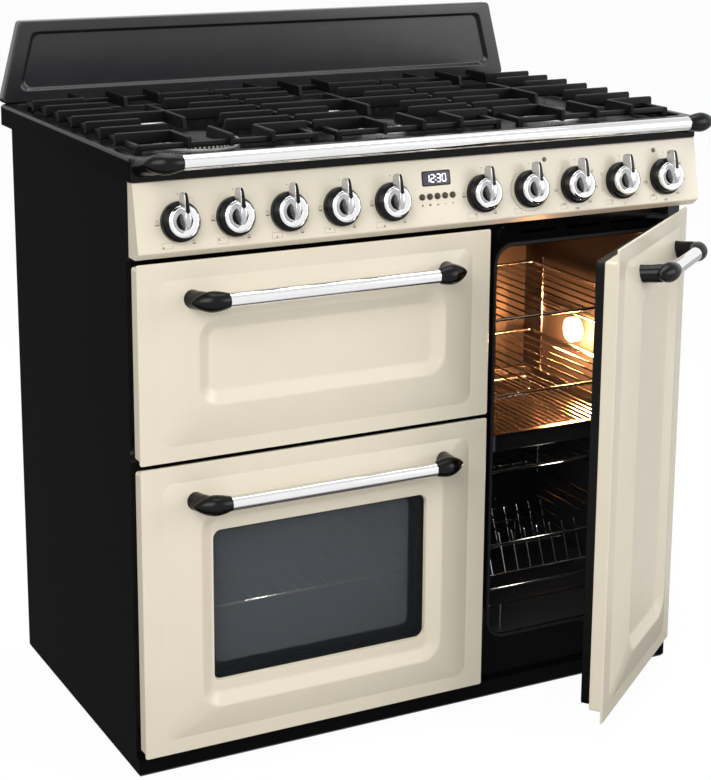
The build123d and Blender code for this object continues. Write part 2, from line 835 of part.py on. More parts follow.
with BuildPart() as splashback:
    with BuildSketch(upright(splash_back)):
        Polygon(
            (-half_hob, hob_top),
            (half_hob, hob_top),
            (half_top, splash_top),
            (-half_top, splash_top),
            align=None,
        )
        fillet(vertices().group_by(Axis.Y)[-1], radius=splash_corner)
    extrude(amount=splash_thickness)
    for depth, inset in ((splash_recess / 2, 0.0), (splash_recess, splash_recess_slope)):
        low = hob_top + splash_border_bottom + inset
        high = splash_top - splash_border_top - inset
        side = splash_border_side + inset
        with BuildSketch(upright(splash_front + depth)):
            Polygon(
                (-splash_half(low, side), low),
                (splash_half(low, side), low),
                (splash_half(high, side), high),
                (-splash_half(high, side), high),
                align=None,
            )
            fillet(vertices(), radius=splash_recess_corner - inset)
        extrude(amount=depth, mode=Mode.SUBTRACT)
    with BuildSketch(upright(splash_back)):
        low = hob_top + splash_wall
        high = splash_top - splash_wall
        Polygon(
            (-splash_half(low, splash_wall), low),
            (splash_half(low, splash_wall), low),
            (splash_half(high, splash_wall), high),
            (-splash_half(high, splash_wall), high),
            align=None,
        )
        fillet(vertices(), radius=splash_corner - splash_wall)
    extrude(amount=splash_thickness - splash_recess - splash_wall, mode=Mode.SUBTRACT)
save(splashback, "splashback")


def end_piece(middle_y, middle_z, junction, outward):
    """The end of a bar: it swells like an acorn, leans back to its seat and closes to a point."""
    rings = []
    for run, radius, lean in zip(end_runs, end_radii, end_leans):
        with BuildSketch(Plane.YZ.offset(junction + outward * run)) as ring:
            with Locations((middle_y + lean, middle_z)):
                Circle(radius)
        rings.append(ring.sketch)
    loft(rings)


def post(x, middle_y, middle_z, seat_y):
    """The stout post that carries an end piece, from the bar's line back to its seat."""
    with BuildSketch(upright(middle_y)) as head:
        with Locations((x, middle_z)):
            Circle(post_radius)
    with BuildSketch(upright(seat_y)) as foot:
        with Locations((x, middle_z)):
            Circle(post_foot_radius)
    loft([head.sketch, foot.sketch])


# Hob rail: chrome bar with an acorn-shaped post at each end, on the front of the hob
with BuildPart() as hob_rail:
    rod((-half_rail, rail_y, rail_z), (half_rail, rail_y, rail_z), rail_radius)
save(hob_rail, "hob_rail")

with BuildPart() as hob_rail_ends:
    for outward in (-1, 1):
        end_piece(rail_y, rail_z, outward * half_rail, outward)
        post(outward * (half_rail + end_post_at), rail_y, rail_z - rail_post_drop, hob_front)
save(hob_rail_ends, "hob_rail_ends")

# Control panel: folded cream sheet, slanted, with holes for the controls
right_knobs = [knob_first + k * knob_pitch for k in range(knobs_each_side)]
knob_places = [-x for x in reversed(right_knobs)] + right_knobs
lamp_places = (right_knobs[1] + grill_lamp_shift, right_knobs[-1] + oven_lamp_shift)
first_button = -button_pitch * (button_count - 1) / 2
button_places = [first_button + k * button_pitch for k in range(button_count)]
outline = (
    (body_front, panel_top),
    (panel_top_front, panel_top),
    (nose_front, nose_height),
    (nose_front + panel_nose_bevel, panel_bottom),
    (body_front, panel_bottom),
)
with BuildPart() as control_panel:
    with BuildSketch(Plane.YZ.offset(body_left)):
        Polygon(*outline, align=None)
    extrude(amount=body_width)
    with BuildSketch(Plane.YZ.offset(body_left + panel_wall)):
        Polygon(*outline, align=None)
        offset(amount=-panel_wall, kind=Kind.INTERSECTION, mode=Mode.REPLACE)
    extrude(amount=body_width - 2 * panel_wall, mode=Mode.SUBTRACT)
    mouth_x = body_width / 2 - panel_wall
    block(
        -mouth_x,
        mouth_x,
        body_front - panel_wall,
        body_front,
        panel_bottom + panel_wall,
        panel_top - panel_wall,
        mode=Mode.SUBTRACT,
    )
    holes = [(x, knob_rise, stem_radius) for x in knob_places]
    holes += [(x, button_rise, button_radius) for x in button_places]
    holes += [(x, lamp_rise, lamp_radius) for x in lamp_places]
    behind = -2 * panel_wall
    for x, rise, radius in holes:
        disc(on_panel(x, rise, behind), radius + running_fit, 3 * panel_wall, mode=Mode.SUBTRACT)
    with BuildSketch(on_panel(0, display_rise, behind)):
        Rectangle(display_width + 2 * window_fit, display_height + 2 * window_fit)
    extrude(amount=3 * panel_wall, mode=Mode.SUBTRACT)
save(control_panel, "control_panel")

# Display window and indicator lamp lenses, set in the panel's sheet
with BuildPart() as panel_windows:
    with BuildSketch(on_panel(0, display_rise, -panel_wall)):
        Rectangle(display_width, display_height)
    extrude(amount=panel_wall)
    for x in lamp_places:
        disc(on_panel(x, lamp_rise, -panel_wall), lamp_radius, panel_wall + lamp_proud)
save(panel_windows, "panel_windows")

# Clock buttons: round, with a collar behind the sheet that keeps them in
for k, x in enumerate(button_places, start=1):
    with BuildPart() as button:
        disc(on_panel(x, button_rise, -panel_wall), button_radius, panel_wall + button_proud)
        collar = on_panel(x, button_rise, -panel_wall - running_fit - button_flange_height)
        disc(collar, button_radius + button_flange, button_flange_height + running_fit)
    save(button, f"clock_button_{k}")

# Knobs: black skirt, chrome dome and pointer lever on a stem through the panel
for k, x in enumerate(knob_places, start=1):
    with BuildPart() as knob:
        disc(on_panel(x, knob_rise, -stem_depth), stem_radius, stem_depth + knob_gap)
        with BuildSketch(on_panel(x, knob_rise, knob_gap)):
            Circle(skirt_radius)
        extrude(amount=skirt_height, taper=skirt_taper)
        dome_plane = on_panel(x, knob_rise, knob_gap + skirt_height)
        with BuildSketch(dome_plane):
            Circle(dome_radius)
        extrude(amount=dome_height, taper=dome_taper)
        with BuildSketch(dome_plane):
            with Locations((0, lever_reach - lever_tip_radius)):
                Circle(lever_tip_radius)
            with Locations((0, lever_root_radius - lever_tail)):
                Circle(lever_root_radius)
            make_hull()
        extrude(amount=lever_height)
    save(knob, f"knob_{k}")


def field_outline(x0, x1, z0, z1):
    """The border of the raised field on a door."""
    return x0 + field_inset, x1 - field_inset, z0 + field_bottom_inset, z1 - field_top_inset


def recess_outline(edges, end_inset):
    """The rim of the sunken panel inside the raised field."""
    f0, f1, g0, g1 = field_outline(*edges)
    return f0 + recess_inset, f1 - recess_inset, g0 + end_inset, g1 - end_inset


def shrink(outline, amount):
    """An outline drawn in by the same amount on each side."""
    x0, x1, z0, z1 = outline
    return x0 + amount, x1 - amount, z0 + amount, z1 - amount


def raised_field(edges, rim_outline, mode=Mode.ADD):
    """The raised field of a door skin, rising from its border to the rim of the recess."""
    with BuildSketch(upright(door_front)) as border:
        rounded(*field_outline(*edges), field_corner)
    with BuildSketch(upright(door_front - field_rise)) as rim:
        rounded(*rim_outline, recess_corner)
    loft([border.sketch, rim.sketch], ruled=True, mode=mode)


def door_skin(edges, rim, lip, window=None):
    """A pressed door front: lipped sheet, folded flanges, raised field, recess and window."""
    x0, x1, z0, z1 = edges
    body = (x0, x1, z0 + lip, z1 - lip)
    with BuildPart() as skin:
        block(x0, x1, door_front, lip_back, z0, z1)
        block(body[0], body[1], lip_back, skin_back, body[2], body[3])
        inside = shrink(body, flange_sheet)
        mouth = shrink(inside, return_width)
        return_front = skin_back - flange_sheet
        block(inside[0], inside[1], lip_back, return_front, inside[2], inside[3], mode=Mode.SUBTRACT)
        block(mouth[0], mouth[1], return_front, skin_back, mouth[2], mouth[3], mode=Mode.SUBTRACT)
        raised_field(edges, rim)
        with BuildSketch(upright(door_front - field_rise)):
            rounded(*rim, recess_corner)
        with BuildSketch(upright(door_front - field_rise + recess_depth)):
            rounded(*shrink(rim, recess_bevel), recess_corner - recess_bevel)
        loft(ruled=True, mode=Mode.SUBTRACT)
        if window:
            with BuildSketch(upright(lip_back)):
                rounded(*window, window_corner)
            extrude(amount=lip_sheet + field_rise, mode=Mode.SUBTRACT)
    return skin


def liner_outline(edges):
    """The edges of the inner liner behind a door skin."""
    x0, x1, z0, z1 = edges
    top_and_bottom = lip_height + liner_end_inset
    return x0 + liner_inset, x1 - liner_inset, z0 + top_and_bottom, z1 - top_and_bottom


def liner_plate(outline):
    """The black inner panel of a door, dished on the oven side."""
    with BuildSketch(upright(liner_back)) as plate:
        rounded(*outline, field_corner)
    extrude(plate.sketch, amount=liner_depth)
    with BuildSketch(upright(liner_back)) as dish:
        rounded(*shrink(outline, liner_dish_inset), recess_corner)
    extrude(dish.sketch, amount=liner_dish, mode=Mode.SUBTRACT)
    with BuildSketch(upright(liner_floor)) as hollow:
        rounded(*shrink(outline, liner_wall), field_corner - liner_wall)
    extrude(hollow.sketch, amount=liner_floor - skin_back, mode=Mode.SUBTRACT)


def hinge_eyes(outline, pivot_z):
    """The bored eyes at the foot of a liner that turn on the hinge pins."""
    for x0 in (outline[0], outline[1] - eye_width):
        block(x0, x0 + eye_width, drop_pivot_y, liner_back, pivot_z, outline[2] + eye_radius)
        rod((x0, drop_pivot_y, pivot_z), (x0 + eye_width, drop_pivot_y, pivot_z), eye_radius)
        rod(
            (x0, drop_pivot_y, pivot_z),
            (x0 + eye_width, drop_pivot_y, pivot_z),
            pin_radius + running_fit,
            mode=Mode.SUBTRACT,
        )


def hinge_notches(edges):
    """The gaps in the lower flange of a skin where the hinge eyes and brackets come through."""
    outline = liner_outline(edges)
    low = edges[2] + lip_height
    high = outline[2] + eye_radius + notch_play
    room = eye_width + notch_play
    side = bracket_sheet + bracket_side_gap + notch_play
    front = drop_pivot_y - eye_radius - notch_play
    for x0, x1 in ((outline[0] - side, outline[0] + room), (outline[1] - room, outline[1] + side)):
        block(x0, x1, front, skin_back, low, high, mode=Mode.SUBTRACT)


def handle(edges, rim, shift=0.0):
    """A door handle: chrome bar, and its two acorn-shaped ends on posts."""
    z = edges[3] - handle_drop
    middle_x = (edges[0] + edges[1]) / 2 + shift
    half = (edges[1] - edges[0]) / 2 - handle_inset
    with BuildPart() as bar:
        rod((middle_x - half, handle_y, z), (middle_x + half, handle_y, z), handle_radius)
    with BuildPart() as ends:
        for outward in (-1, 1):
            end_piece(handle_y, z, middle_x + outward * half, outward)
            post(middle_x + outward * (half + end_post_at), handle_y, z, door_front)
        raised_field(edges, rim, mode=Mode.SUBTRACT)
    return bar, ends


# Grill door
grill_edges = (body_left, left_door_right, grill_door_bottom, grill_door_top)
grill_pivot_z = grill_door_bottom + drop_pivot_rise
grill_rim = recess_outline(grill_edges, recess_end_inset)
grill_skin_shell = door_skin(grill_edges, grill_rim, lip_height)
with BuildPart() as grill_skin:
    add(grill_skin_shell.part)
    hinge_notches(grill_edges)
save(grill_skin, "grill_door_skin")

with BuildPart() as grill_liner:
    liner_plate(liner_outline(grill_edges))
    hinge_eyes(liner_outline(grill_edges), grill_pivot_z)
save(grill_liner, "grill_door_liner")

grill_bar, grill_ends = handle(grill_edges, grill_rim)
save(grill_bar, "grill_handle_bar")
save(grill_ends, "grill_handle_ends")

# Main oven door, with its window
main_edges = (body_left, left_door_right, main_door_bottom, main_door_top)
main_pivot_z = main_door_bottom + drop_pivot_rise
main_rim = recess_outline(main_edges, main_recess_end_inset)
main_window = (
    main_rim[0] + window_inset,
    main_rim[1] - window_inset,
    main_rim[2] + window_end_inset,
    main_rim[3] - window_end_inset,
)
glass_edges = shrink(main_window, -glass_overlap)
main_skin_shell = door_skin(main_edges, main_rim, lip_height, main_window)
with BuildPart() as main_skin:
    add(main_skin_shell.part)
    hinge_notches(main_edges)
save(main_skin, "main_door_skin")

with BuildPart() as main_liner:
    liner_plate(liner_outline(main_edges))
    hinge_eyes(liner_outline(main_edges), main_pivot_z)
    with BuildSketch(upright(liner_back)):
        rounded(*main_window, window_corner)
    extrude(amount=liner_depth, mode=Mode.SUBTRACT)
save(main_liner, "main_door_liner")

with BuildPart() as main_glass:
    with BuildSketch(upright(lip_back + glass_sheet)):
        rounded(*glass_edges, window_corner)
    extrude(amount=glass_sheet)
    with BuildSketch(upright(liner_floor)):
        rounded(*glass_edges, window_corner)
    extrude(amount=glass_sheet)
save(main_glass, "main_door_glass")

main_bar, main_ends = handle(main_edges, main_rim)
save(main_bar, "main_handle_bar")
save(main_ends, "main_handle_ends")

# Tall door: made shut, then swung open on its hinge pins
tall_edges = (tall_door_left, tall_door_right, main_door_bottom, grill_door_top)
tall_body = (tall_edges[2] + tall_lip_height, tall_edges[3] - tall_lip_height)
lug_x = (tall_pivot_x - lug_width / 2, tall_pivot_x + lug_width / 2)
lug_front = tall_pivot_y - tall_bracket_eye
lugs = (
    (tall_body[0] + flange_sheet, tall_body[0] + flange_sheet + lug_height),
    (tall_body[1] - flange_sheet - lug_height, tall_body[1] - flange_sheet),
)
tall_rim = recess_outline(tall_edges, recess_end_inset)
tall_skin_shut = door_skin(tall_edges, tall_rim, tall_lip_height)
with BuildPart() as tall_skin_bored:
    add(tall_skin_shut.part)
    for z in (tall_body[0], tall_body[1] - flange_sheet):
        hole = Plane.XY.move(Location((tall_pivot_x, tall_pivot_y, z)))
        disc(hole, tall_bracket_eye, flange_sheet, mode=Mode.SUBTRACT)
    for z0, z1 in lugs:
        room = (lug_x[0] - notch_play, tall_door_right - flange_sheet)
        block(*room, skin_back - flange_sheet, skin_back, z0, z1, mode=Mode.SUBTRACT)
with BuildPart() as tall_skin:
    add(tall_skin_bored.part.rotate(tall_hinge_axis, tall_door_open))
save(tall_skin, "tall_door_skin")

with BuildPart() as tall_liner_shut:
    tall_inset = tall_lip_height + tall_liner_end_inset
    liner_plate(
        (
            tall_door_left + tall_liner_free_inset,
            tall_door_right - tall_liner_hinge_inset,
            tall_edges[2] + tall_inset,
            tall_edges[3] - tall_inset,
        )
    )
    for z0, z1 in lugs:
        block(*lug_x, lug_front, liner_floor, z0, z1)
        lug_foot = Plane.XY.move(Location((tall_pivot_x, tall_pivot_y, z0)))
        disc(lug_foot, pin_radius + running_fit, lug_height, mode=Mode.SUBTRACT)
with BuildPart() as tall_liner:
    add(tall_liner_shut.part.rotate(tall_hinge_axis, tall_door_open))
save(tall_liner, "tall_door_liner")

tall_bar_shut, tall_ends_shut = handle(tall_edges, tall_rim, tall_handle_shift)
with BuildPart() as tall_bar:
    add(tall_bar_shut.part.rotate(tall_hinge_axis, tall_door_open))
save(tall_bar, "tall_handle_bar")
with BuildPart() as tall_ends:
    add(tall_ends_shut.part.rotate(tall_hinge_axis, tall_door_open))
save(tall_ends, "tall_handle_ends")

# Hinge brackets: steel plates on the front frame with the pins that the doors turn on
with BuildPart() as hinge_brackets:
    for edges, pivot_z in ((grill_edges, grill_pivot_z), (main_edges, main_pivot_z)):
        outline = liner_outline(edges)
        for inner_edge, inward in ((outline[0], 1), (outline[1], -1)):
            near = inner_edge - inward * bracket_side_gap
            far = near - inward * bracket_sheet
            x0, x1 = sorted((near, far))
            block(x0, x1, drop_pivot_y, frame_front, pivot_z - eye_radius, pivot_z + eye_radius)
            rod((x0, drop_pivot_y, pivot_z), (x1, drop_pivot_y, pivot_z), eye_radius)
            pin_end = inner_edge + inward * eye_width
            rod((far, drop_pivot_y, pivot_z), (pin_end, drop_pivot_y, pivot_z), pin_radius)
            foot = sorted((near, far - inward * bracket_foot / 2))
            block(
                *foot,
                frame_front - bracket_foot_sheet,
                frame_front,
                pivot_z - bracket_foot,
                pivot_z + bracket_foot,
            )
    plates = (
        (tall_body[0] - tall_bracket_gap - bracket_sheet, tall_body[0] - tall_bracket_gap, lugs[0][1]),
        (tall_body[1] + tall_bracket_gap, tall_body[1] + tall_bracket_gap + bracket_sheet, lugs[1][0]),
    )
    for z0, z1, pin_end in plates:
        root_x = tall_pivot_x - tall_bracket_reach
        with BuildSketch(Plane.XY.offset(z0)):
            Polygon(
                (tall_pivot_x - tall_bracket_eye, tall_pivot_y),
                (tall_pivot_x + tall_bracket_eye / 2, tall_pivot_y + tall_bracket_eye),
                (root_x + tall_bracket_width / 2, frame_front),
                (root_x - tall_bracket_width / 2, frame_front),
                align=None,
            )
            with Locations((tall_pivot_x, tall_pivot_y)):
                Circle(tall_bracket_eye)
        extrude(amount=bracket_sheet)
        pin_z = sorted((z0 if pin_end > z0 else z1, pin_end))
        rod((tall_pivot_x, tall_pivot_y, pin_z[0]), (tall_pivot_x, tall_pivot_y, pin_z[1]), pin_radius)
save(hinge_brackets, "hinge_brackets")
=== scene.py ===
from math import atan2, ceil, cos, hypot, pi, radians, sin, tan

import bmesh
import bpy
from mathutils import Euler, Matrix, Vector


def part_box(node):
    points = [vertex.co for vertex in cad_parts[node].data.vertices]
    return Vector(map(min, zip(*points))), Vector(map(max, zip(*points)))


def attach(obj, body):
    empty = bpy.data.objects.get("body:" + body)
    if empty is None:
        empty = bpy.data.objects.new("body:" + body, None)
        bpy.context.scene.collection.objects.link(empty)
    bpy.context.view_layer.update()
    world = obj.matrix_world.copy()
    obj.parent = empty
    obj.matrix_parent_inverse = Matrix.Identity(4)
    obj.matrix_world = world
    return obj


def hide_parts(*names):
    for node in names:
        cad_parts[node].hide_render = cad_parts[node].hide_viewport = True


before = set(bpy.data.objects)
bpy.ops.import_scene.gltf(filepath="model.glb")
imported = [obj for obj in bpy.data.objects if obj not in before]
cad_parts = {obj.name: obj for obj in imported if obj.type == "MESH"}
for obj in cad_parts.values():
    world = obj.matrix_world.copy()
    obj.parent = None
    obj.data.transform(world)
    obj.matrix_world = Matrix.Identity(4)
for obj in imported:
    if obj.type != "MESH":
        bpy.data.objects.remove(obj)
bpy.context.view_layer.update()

# Casing: side panels, plinth and front frame of folded sheet steel under black vitreous enamel.
# The frame is welded between the panels. The fired coat is glossy and very slightly wavy.
MM = 0.001


def linear(code):
    """The scene-linear colour of an sRGB hex code."""
    shares = [int(code[k:k + 2], 16) / 255 for k in (1, 3, 5)]
    return tuple(s / 12.92 if s <= 0.04045 else ((s + 0.055) / 1.055) ** 2.4 for s in shares) + (1.0,)


def add(tree, kind, inputs=None, **settings):
    """A node in a tree, with its settings and with values or links on its input sockets."""
    node = tree.nodes.new(kind)
    for key, value in settings.items():
        setattr(node, key, value)
    for key, value in (inputs or {}).items():
        if isinstance(value, bpy.types.NodeSocket):
            tree.links.new(value, node.inputs[key])
        else:
            node.inputs[key].default_value = value
    return node


def blank(name):
    """A new material, and its empty node tree."""
    material = bpy.data.materials.new(name)
    material.use_nodes = True
    material.node_tree.nodes.clear()
    return material, material.node_tree


def coat(name, dark, light, grain_mm, relief_mm, inputs, detail=2.0):
    """A finish whose colour and height vary with the grain of the real surface."""
    material, tree = blank(name)
    place = add(tree, "ShaderNodeTexCoord").outputs["Object"]
    pattern = {"Vector": place, "Scale": 1 / (grain_mm * MM), "Detail": detail}
    level = add(tree, "ShaderNodeTexNoise", pattern).outputs["Fac"]
    colour = add(tree, "ShaderNodeMix", {0: level, 6: linear(dark), 7: linear(light)}, data_type="RGBA")
    bump = add(tree, "ShaderNodeBump", {"Height": level, "Distance": relief_mm * MM})
    looks = {"Base Color": colour.outputs[2], "Normal": bump.outputs[0], **inputs}
    shader = add(tree, "ShaderNodeBsdfPrincipled", looks)
    add(tree, "ShaderNodeOutputMaterial", {"Surface": shader.outputs[0]})
    return material


def dress(material, *names):
    """Gives nodes that keep their own shape a finish."""
    for name in names:
        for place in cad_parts[name].material_slots:
            place.material = material


# Black vitreous enamel, gloss: very dark, with clear soft-edged reflections
black_gloss = {"Roughness": 0.11, "Specular IOR Level": 0.55}
black_enamel = coat("black_vitreous_enamel", "#09090A", "#0E0E10", 40.0, 0.004, black_gloss)
dress(black_enamel, "side_panel_left", "side_panel_right", "plinth", "front_frame")
# Zinc-coated sheet: mid grey, with a dull spangle
zinc = coat("galvanised_sheet", "#7C8084", "#B4B8BB", 14.0, 0.02, {"Metallic": 0.9, "Roughness": 0.42})
dress(zinc, "back_panel", "base_tray", "fan_motors")
# Stamped steel blackened in hot oil: nearly black, with a weak metal sheen
oil_sheen = {"Metallic": 0.5, "Roughness": 0.35}
oiled_steel = coat("oil_blackened_steel", "#121214", "#1D1D20", 4.0, 0.01, oil_sheen)
dress(oiled_steel, "hinge_brackets")

# Oven boxes: pressed steel under speckled dark grey enamel, flanged to the back of the front frame,
# with moulded rubber seals round their mouths.
# Speckled oven enamel: dark grey with pale flecks, hardly glossy
cavity_sheen = {"Roughness": 0.45, "Specular IOR Level": 0.2}
cavity_enamel = coat("speckled_oven_enamel", "#101011", "#343437", 1.2, 0.01, cavity_sheen, 4.0)
dress(cavity_enamel, "grill_cavity", "main_cavity", "tall_cavity", "fan_covers")
# Moulded silicone rubber: black and matt
seal_rubber = coat("black_silicone_rubber", "#0C0C0C", "#161616", 2.0, 0.05, {"Roughness": 0.7})
dress(seal_rubber, "cavity_seals")

# Fans and heating elements: stamped steel blades on the shafts of motors behind the covers, and rods bent
# to and fro under the roofs of the grill and the main oven, with both ends in the rear wall.
# Bare stamped steel: grey metal with blurred reflections
bare_sheen = {"Metallic": 1.0, "Roughness": 0.35}
fan_steel = coat("bare_stamped_steel", "#6E6F71", "#94959A", 3.0, 0.01, bare_sheen)
dress(fan_steel, "main_fan", "tall_fan")
# Steel darkened by heat: brown-black and dull
burnt_sheen = {"Metallic": 0.8, "Roughness": 0.5}
burnt_steel = coat("heat_darkened_steel", "#1B1816", "#352E2A", 5.0, 0.02, burnt_sheen)
dress(burnt_steel, "oven_elements")

# Oven lamps: round glass covers, screwed to the right-hand walls of the tall and the main oven.
# Their bulbs give a warm light.
# Lit lamp glass: so bright that it shows nearly white, with an amber edge
lamp_glow = {"Roughness": 0.1, "Emission Color": linear("#FFC27A"), "Emission Strength": 18.0}
lamp_glass = coat("lit_lamp_glass", "#FFD9A8", "#FFE9CC", 6.0, 0.01, lamp_glow)
dress(lamp_glass, "oven_lamps")

# Side ladders: bright plated wire frames hooked on the oven walls. Round wire of 4 mm, with rungs whose
# ends turn in to the wall.
WIRE = 4.0
CAVITY_FLANGE = 13.5
RUNG_PITCH = 59.2
RUNG_TURN = 7.0
STILE_INSET = 22.0
STILE_OVERHANG = 12.0


def span(node):
    """The box of a node in millimetres, as x0, x1, y0, y1, z0, z1."""
    low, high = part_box(node)
    return tuple(v / MM for pair in zip(low, high) for v in pair)


def shell(loops, ring=False):
    """Points and faces of a closed skin through loops of points; a loop of one point is a pole."""
    points = []
    rows = []
    for loop in loops:
        rows.append(range(len(points), len(points) + len(loop)))
        points += [Vector(p) for p in loop]
    faces = []
    for a, b in zip(rows, rows[1:] + rows[:1] if ring else rows[1:]):
        count = max(len(a), len(b))
        for k in range(count):
            n = (k + 1) % count
            corners = (a[k % len(a)], a[n % len(a)], b[n % len(b)], b[k % len(b)])
            faces.append(tuple(dict.fromkeys(corners)))
    if not ring:
        faces += [tuple(row) for row in (rows[0], rows[-1]) if len(row) > 1]
    return points, faces


def bent(corners, radius, steps=6):
    """A path through corners, each rounded by an arc; radius is one value or one for each inner corner."""
    corners = [Vector(c) for c in corners]
    radii = radius if hasattr(radius, "__len__") else [radius] * (len(corners) - 2)
    path = [corners[0]]
    for before, here, after, r in zip(corners, corners[1:], corners[2:], radii):
        back, on = before - here, after - here
        turn = pi - back.angle(on)
        if r <= 0 or turn < 0.001:
            path.append(here)
            continue
        reach = min(r * tan(turn / 2), 0.49 * back.length, 0.49 * on.length)
        r = reach / tan(turn / 2)
        start, end = here + back.normalized() * reach, here + on.normalized() * reach
        middle = here + (back.normalized() + on.normalized()).normalized() * hypot(r, reach)
        a, b = start - middle, end - middle
        for k in range(steps + 1):
            t = k / steps
            path.append(middle + (a * sin((1 - t) * turn) + b * sin(t * turn)) / sin(turn))
    return path + [corners[-1]]


def tube(path, radius, sides=10, ring=False):
    """A round wire along a path."""
    path = [Vector(p) for p in path]
    count = len(path)
    loops = []
    side = None
    for k, here in enumerate(path):
        before = path[k - 1] if ring or k else here
        after = path[(k + 1) % count] if ring or k + 1 < count else here
        run = (after - before).normalized()
        side = run.orthogonal() if side is None else side - run * side.dot(run)
        side.normalize()
        other = run.cross(side)
        turns = [2 * pi * j / sides for j in range(sides)]
        loops.append([here + radius * (cos(t) * side + sin(t) * other) for t in turns])
    return shell(loops, ring)


def skinned(name, groups, scale, place=None):
    """An object made of groups of closed skins, with the faces of each group given its own material index.
    """
    form = bmesh.new()
    for index, skins in enumerate(groups):
        for points, faces in skins:
            verts = [form.verts.new((place @ p if place else p) * scale) for p in points]
            for corners in faces:
                form.faces.new([verts[k] for k in corners]).material_index = index
    bmesh.ops.recalc_face_normals(form, faces=form.faces)
    mesh = bpy.data.meshes.new(name)
    form.to_mesh(mesh)
    form.free()
    thing = bpy.data.objects.new(name, mesh)
    bpy.context.collection.objects.link(thing)
    return thing


def final_mesh(thing):
    """A plain mesh of an object with its modifiers applied."""
    return bpy.data.meshes.new_from_object(thing.evaluated_get(bpy.context.evaluated_depsgraph_get()))


def settle(thing):
    """Makes an object's modifiers part of its mesh."""
    thing.data = final_mesh(thing)
    thing.modifiers.clear()
    thing.data.name = thing.name


def piece(name, body, paints, stands_for=(), place=None, crease=32.0, layout=None):
    """A piece of one or more finishes, each with its closed skins, that rides on a body. A layout is a tree
    that sets out copies, the sockets of its inputs and their values."""
    thing = skinned(name, [skins for _, skins in paints], MM, place)
    for material, _ in paints:
        thing.data.materials.append(material)
    thing.data.shade_smooth()
    thing.data.set_sharp_from_angle(angle=radians(crease))
    thing.modifiers.new("flat_faces_stay_flat", "WEIGHTED_NORMAL").keep_sharp = True
    settle(thing)
    if layout:
        tree, sockets, values = layout
        copies = thing.modifiers.new("layout", "NODES")
        copies.node_group = tree
        for label, value in values.items():
            copies[sockets[label]] = value
        settle(thing)
    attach(thing, body)
    if stands_for:
        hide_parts(*stands_for)


def layout_tree(name, inputs):
    """A new tree that sets out copies of a part: the tree, its input sockets by label, and their outputs."""
    tree = bpy.data.node_groups.new(name, "GeometryNodeTree")
    sockets = {}
    for label, kind in (("Part", "Geometry"), ("Finish", "Material"), ("Count", "Int"), *inputs):
        socket = tree.interface.new_socket(label, in_out="INPUT", socket_type="NodeSocket" + kind)
        sockets[label] = socket.identifier
    tree.interface.new_socket("Copies", in_out="OUTPUT", socket_type="NodeSocketGeometry")
    return tree, sockets, add(tree, "NodeGroupInput").outputs


def close_tree(tree, copies, finish):
    """Ends a tree: its copies become real and take a finish."""
    real = add(tree, "GeometryNodeRealizeInstances", {"Geometry": copies})
    painted = add(tree, "GeometryNodeSetMaterial", {"Geometry": real.outputs[0], "Material": finish})
    add(tree, "NodeGroupOutput", {"Copies": painted.outputs[0]})


# One part in a straight row, as the wires of a shelf are welded
row_tree, row_sockets, row_in = layout_tree("row_of_parts", [("Step", "Vector")])
row_line = add(row_tree, "GeometryNodeMeshLine", {"Count": row_in["Count"], "Offset": row_in["Step"]})
row_set = {"Points": row_line.outputs[0], "Instance": row_in["Part"]}
row_copies = add(row_tree, "GeometryNodeInstanceOnPoints", row_set)
close_tree(row_tree, row_copies.outputs[0], row_in["Finish"])


def wire_row(name, wire, count, step):
    """A plated wire repeated in a row."""
    values = {"Count": count, "Step": [v * MM for v in step], "Finish": plated_wire}
    layout = (row_tree, row_sockets, values)
    piece(name, "casing", [(plated_wire, [wire])], layout=layout)


def mouth_of(cavity):
    """The left and the right wall of an oven box, inside its flange."""
    left, right = span(cavity)[:2]
    return left + CAVITY_FLANGE, right - CAVITY_FLANGE


# Nickel-chrome plating on drawn wire: bright, with long thin highlights
plated_wire = coat("plated_wire", "#B9B9BB", "#D8D8DA", 6.0, 0.004, {"Metallic": 1.0, "Roughness": 0.2})
tall_mouth, left_mouth = mouth_of("tall_cavity"), mouth_of("main_cavity")
tall_level = span("tall_cavity")[4] + 141.5
main_level = span("main_cavity")[4] + 71.5
grill_level = span("grill_cavity")[4] + 68.5
ladder_sets = (("tall", tall_mouth, tall_level, 7), ("main", left_mouth, main_level, 4),
               ("grill", left_mouth, grill_level, 1))
ladder_front, ladder_rear = span("shelf_ladders")[2:4]
stiles = []
for oven, mouth, first, rungs in ladder_sets:
    foot, head = first - STILE_OVERHANG, first + (rungs - 1) * RUNG_PITCH + STILE_OVERHANG
    for side, wall, inward in (("left", mouth[0], 1), ("right", mouth[1], -1)):
        stile_x, rung_x = wall + inward * WIRE / 2, wall + inward * WIRE * 1.5
        for y in (ladder_front + STILE_INSET, ladder_rear - STILE_INSET):
            stiles.append(tube([(stile_x, y, foot), (stile_x, y, head)], WIRE / 2))
        level = first - WIRE / 2
        near, far = ladder_front + RUNG_TURN, ladder_rear - RUNG_TURN
        run = [(stile_x, ladder_front), (rung_x, near), (rung_x, far), (stile_x, ladder_rear)]
        rung = tube(bent([(x, y, level) for x, y in run], 6.0), WIRE / 2)
        wire_row(f"{oven}_rungs_{side}", rung, rungs, (0, 0, RUNG_PITCH))
piece("ladder_stiles", "casing", [(plated_wire, stiles)], ("shelf_ladders",))

# Wire shelves and the trivet in the roasting tray: a stout wire bent to a frame, with fine wires from
# front to back welded to it. They rest loose on the rungs.
SHELF_GAP = 6.0
SHELF_PITCH = 24.0
FRAME_RADIUS = 2.4
FINE_RADIUS = 1.5
TRIVET_INSET = 20.0
TRIVET_PITCH = 12.0


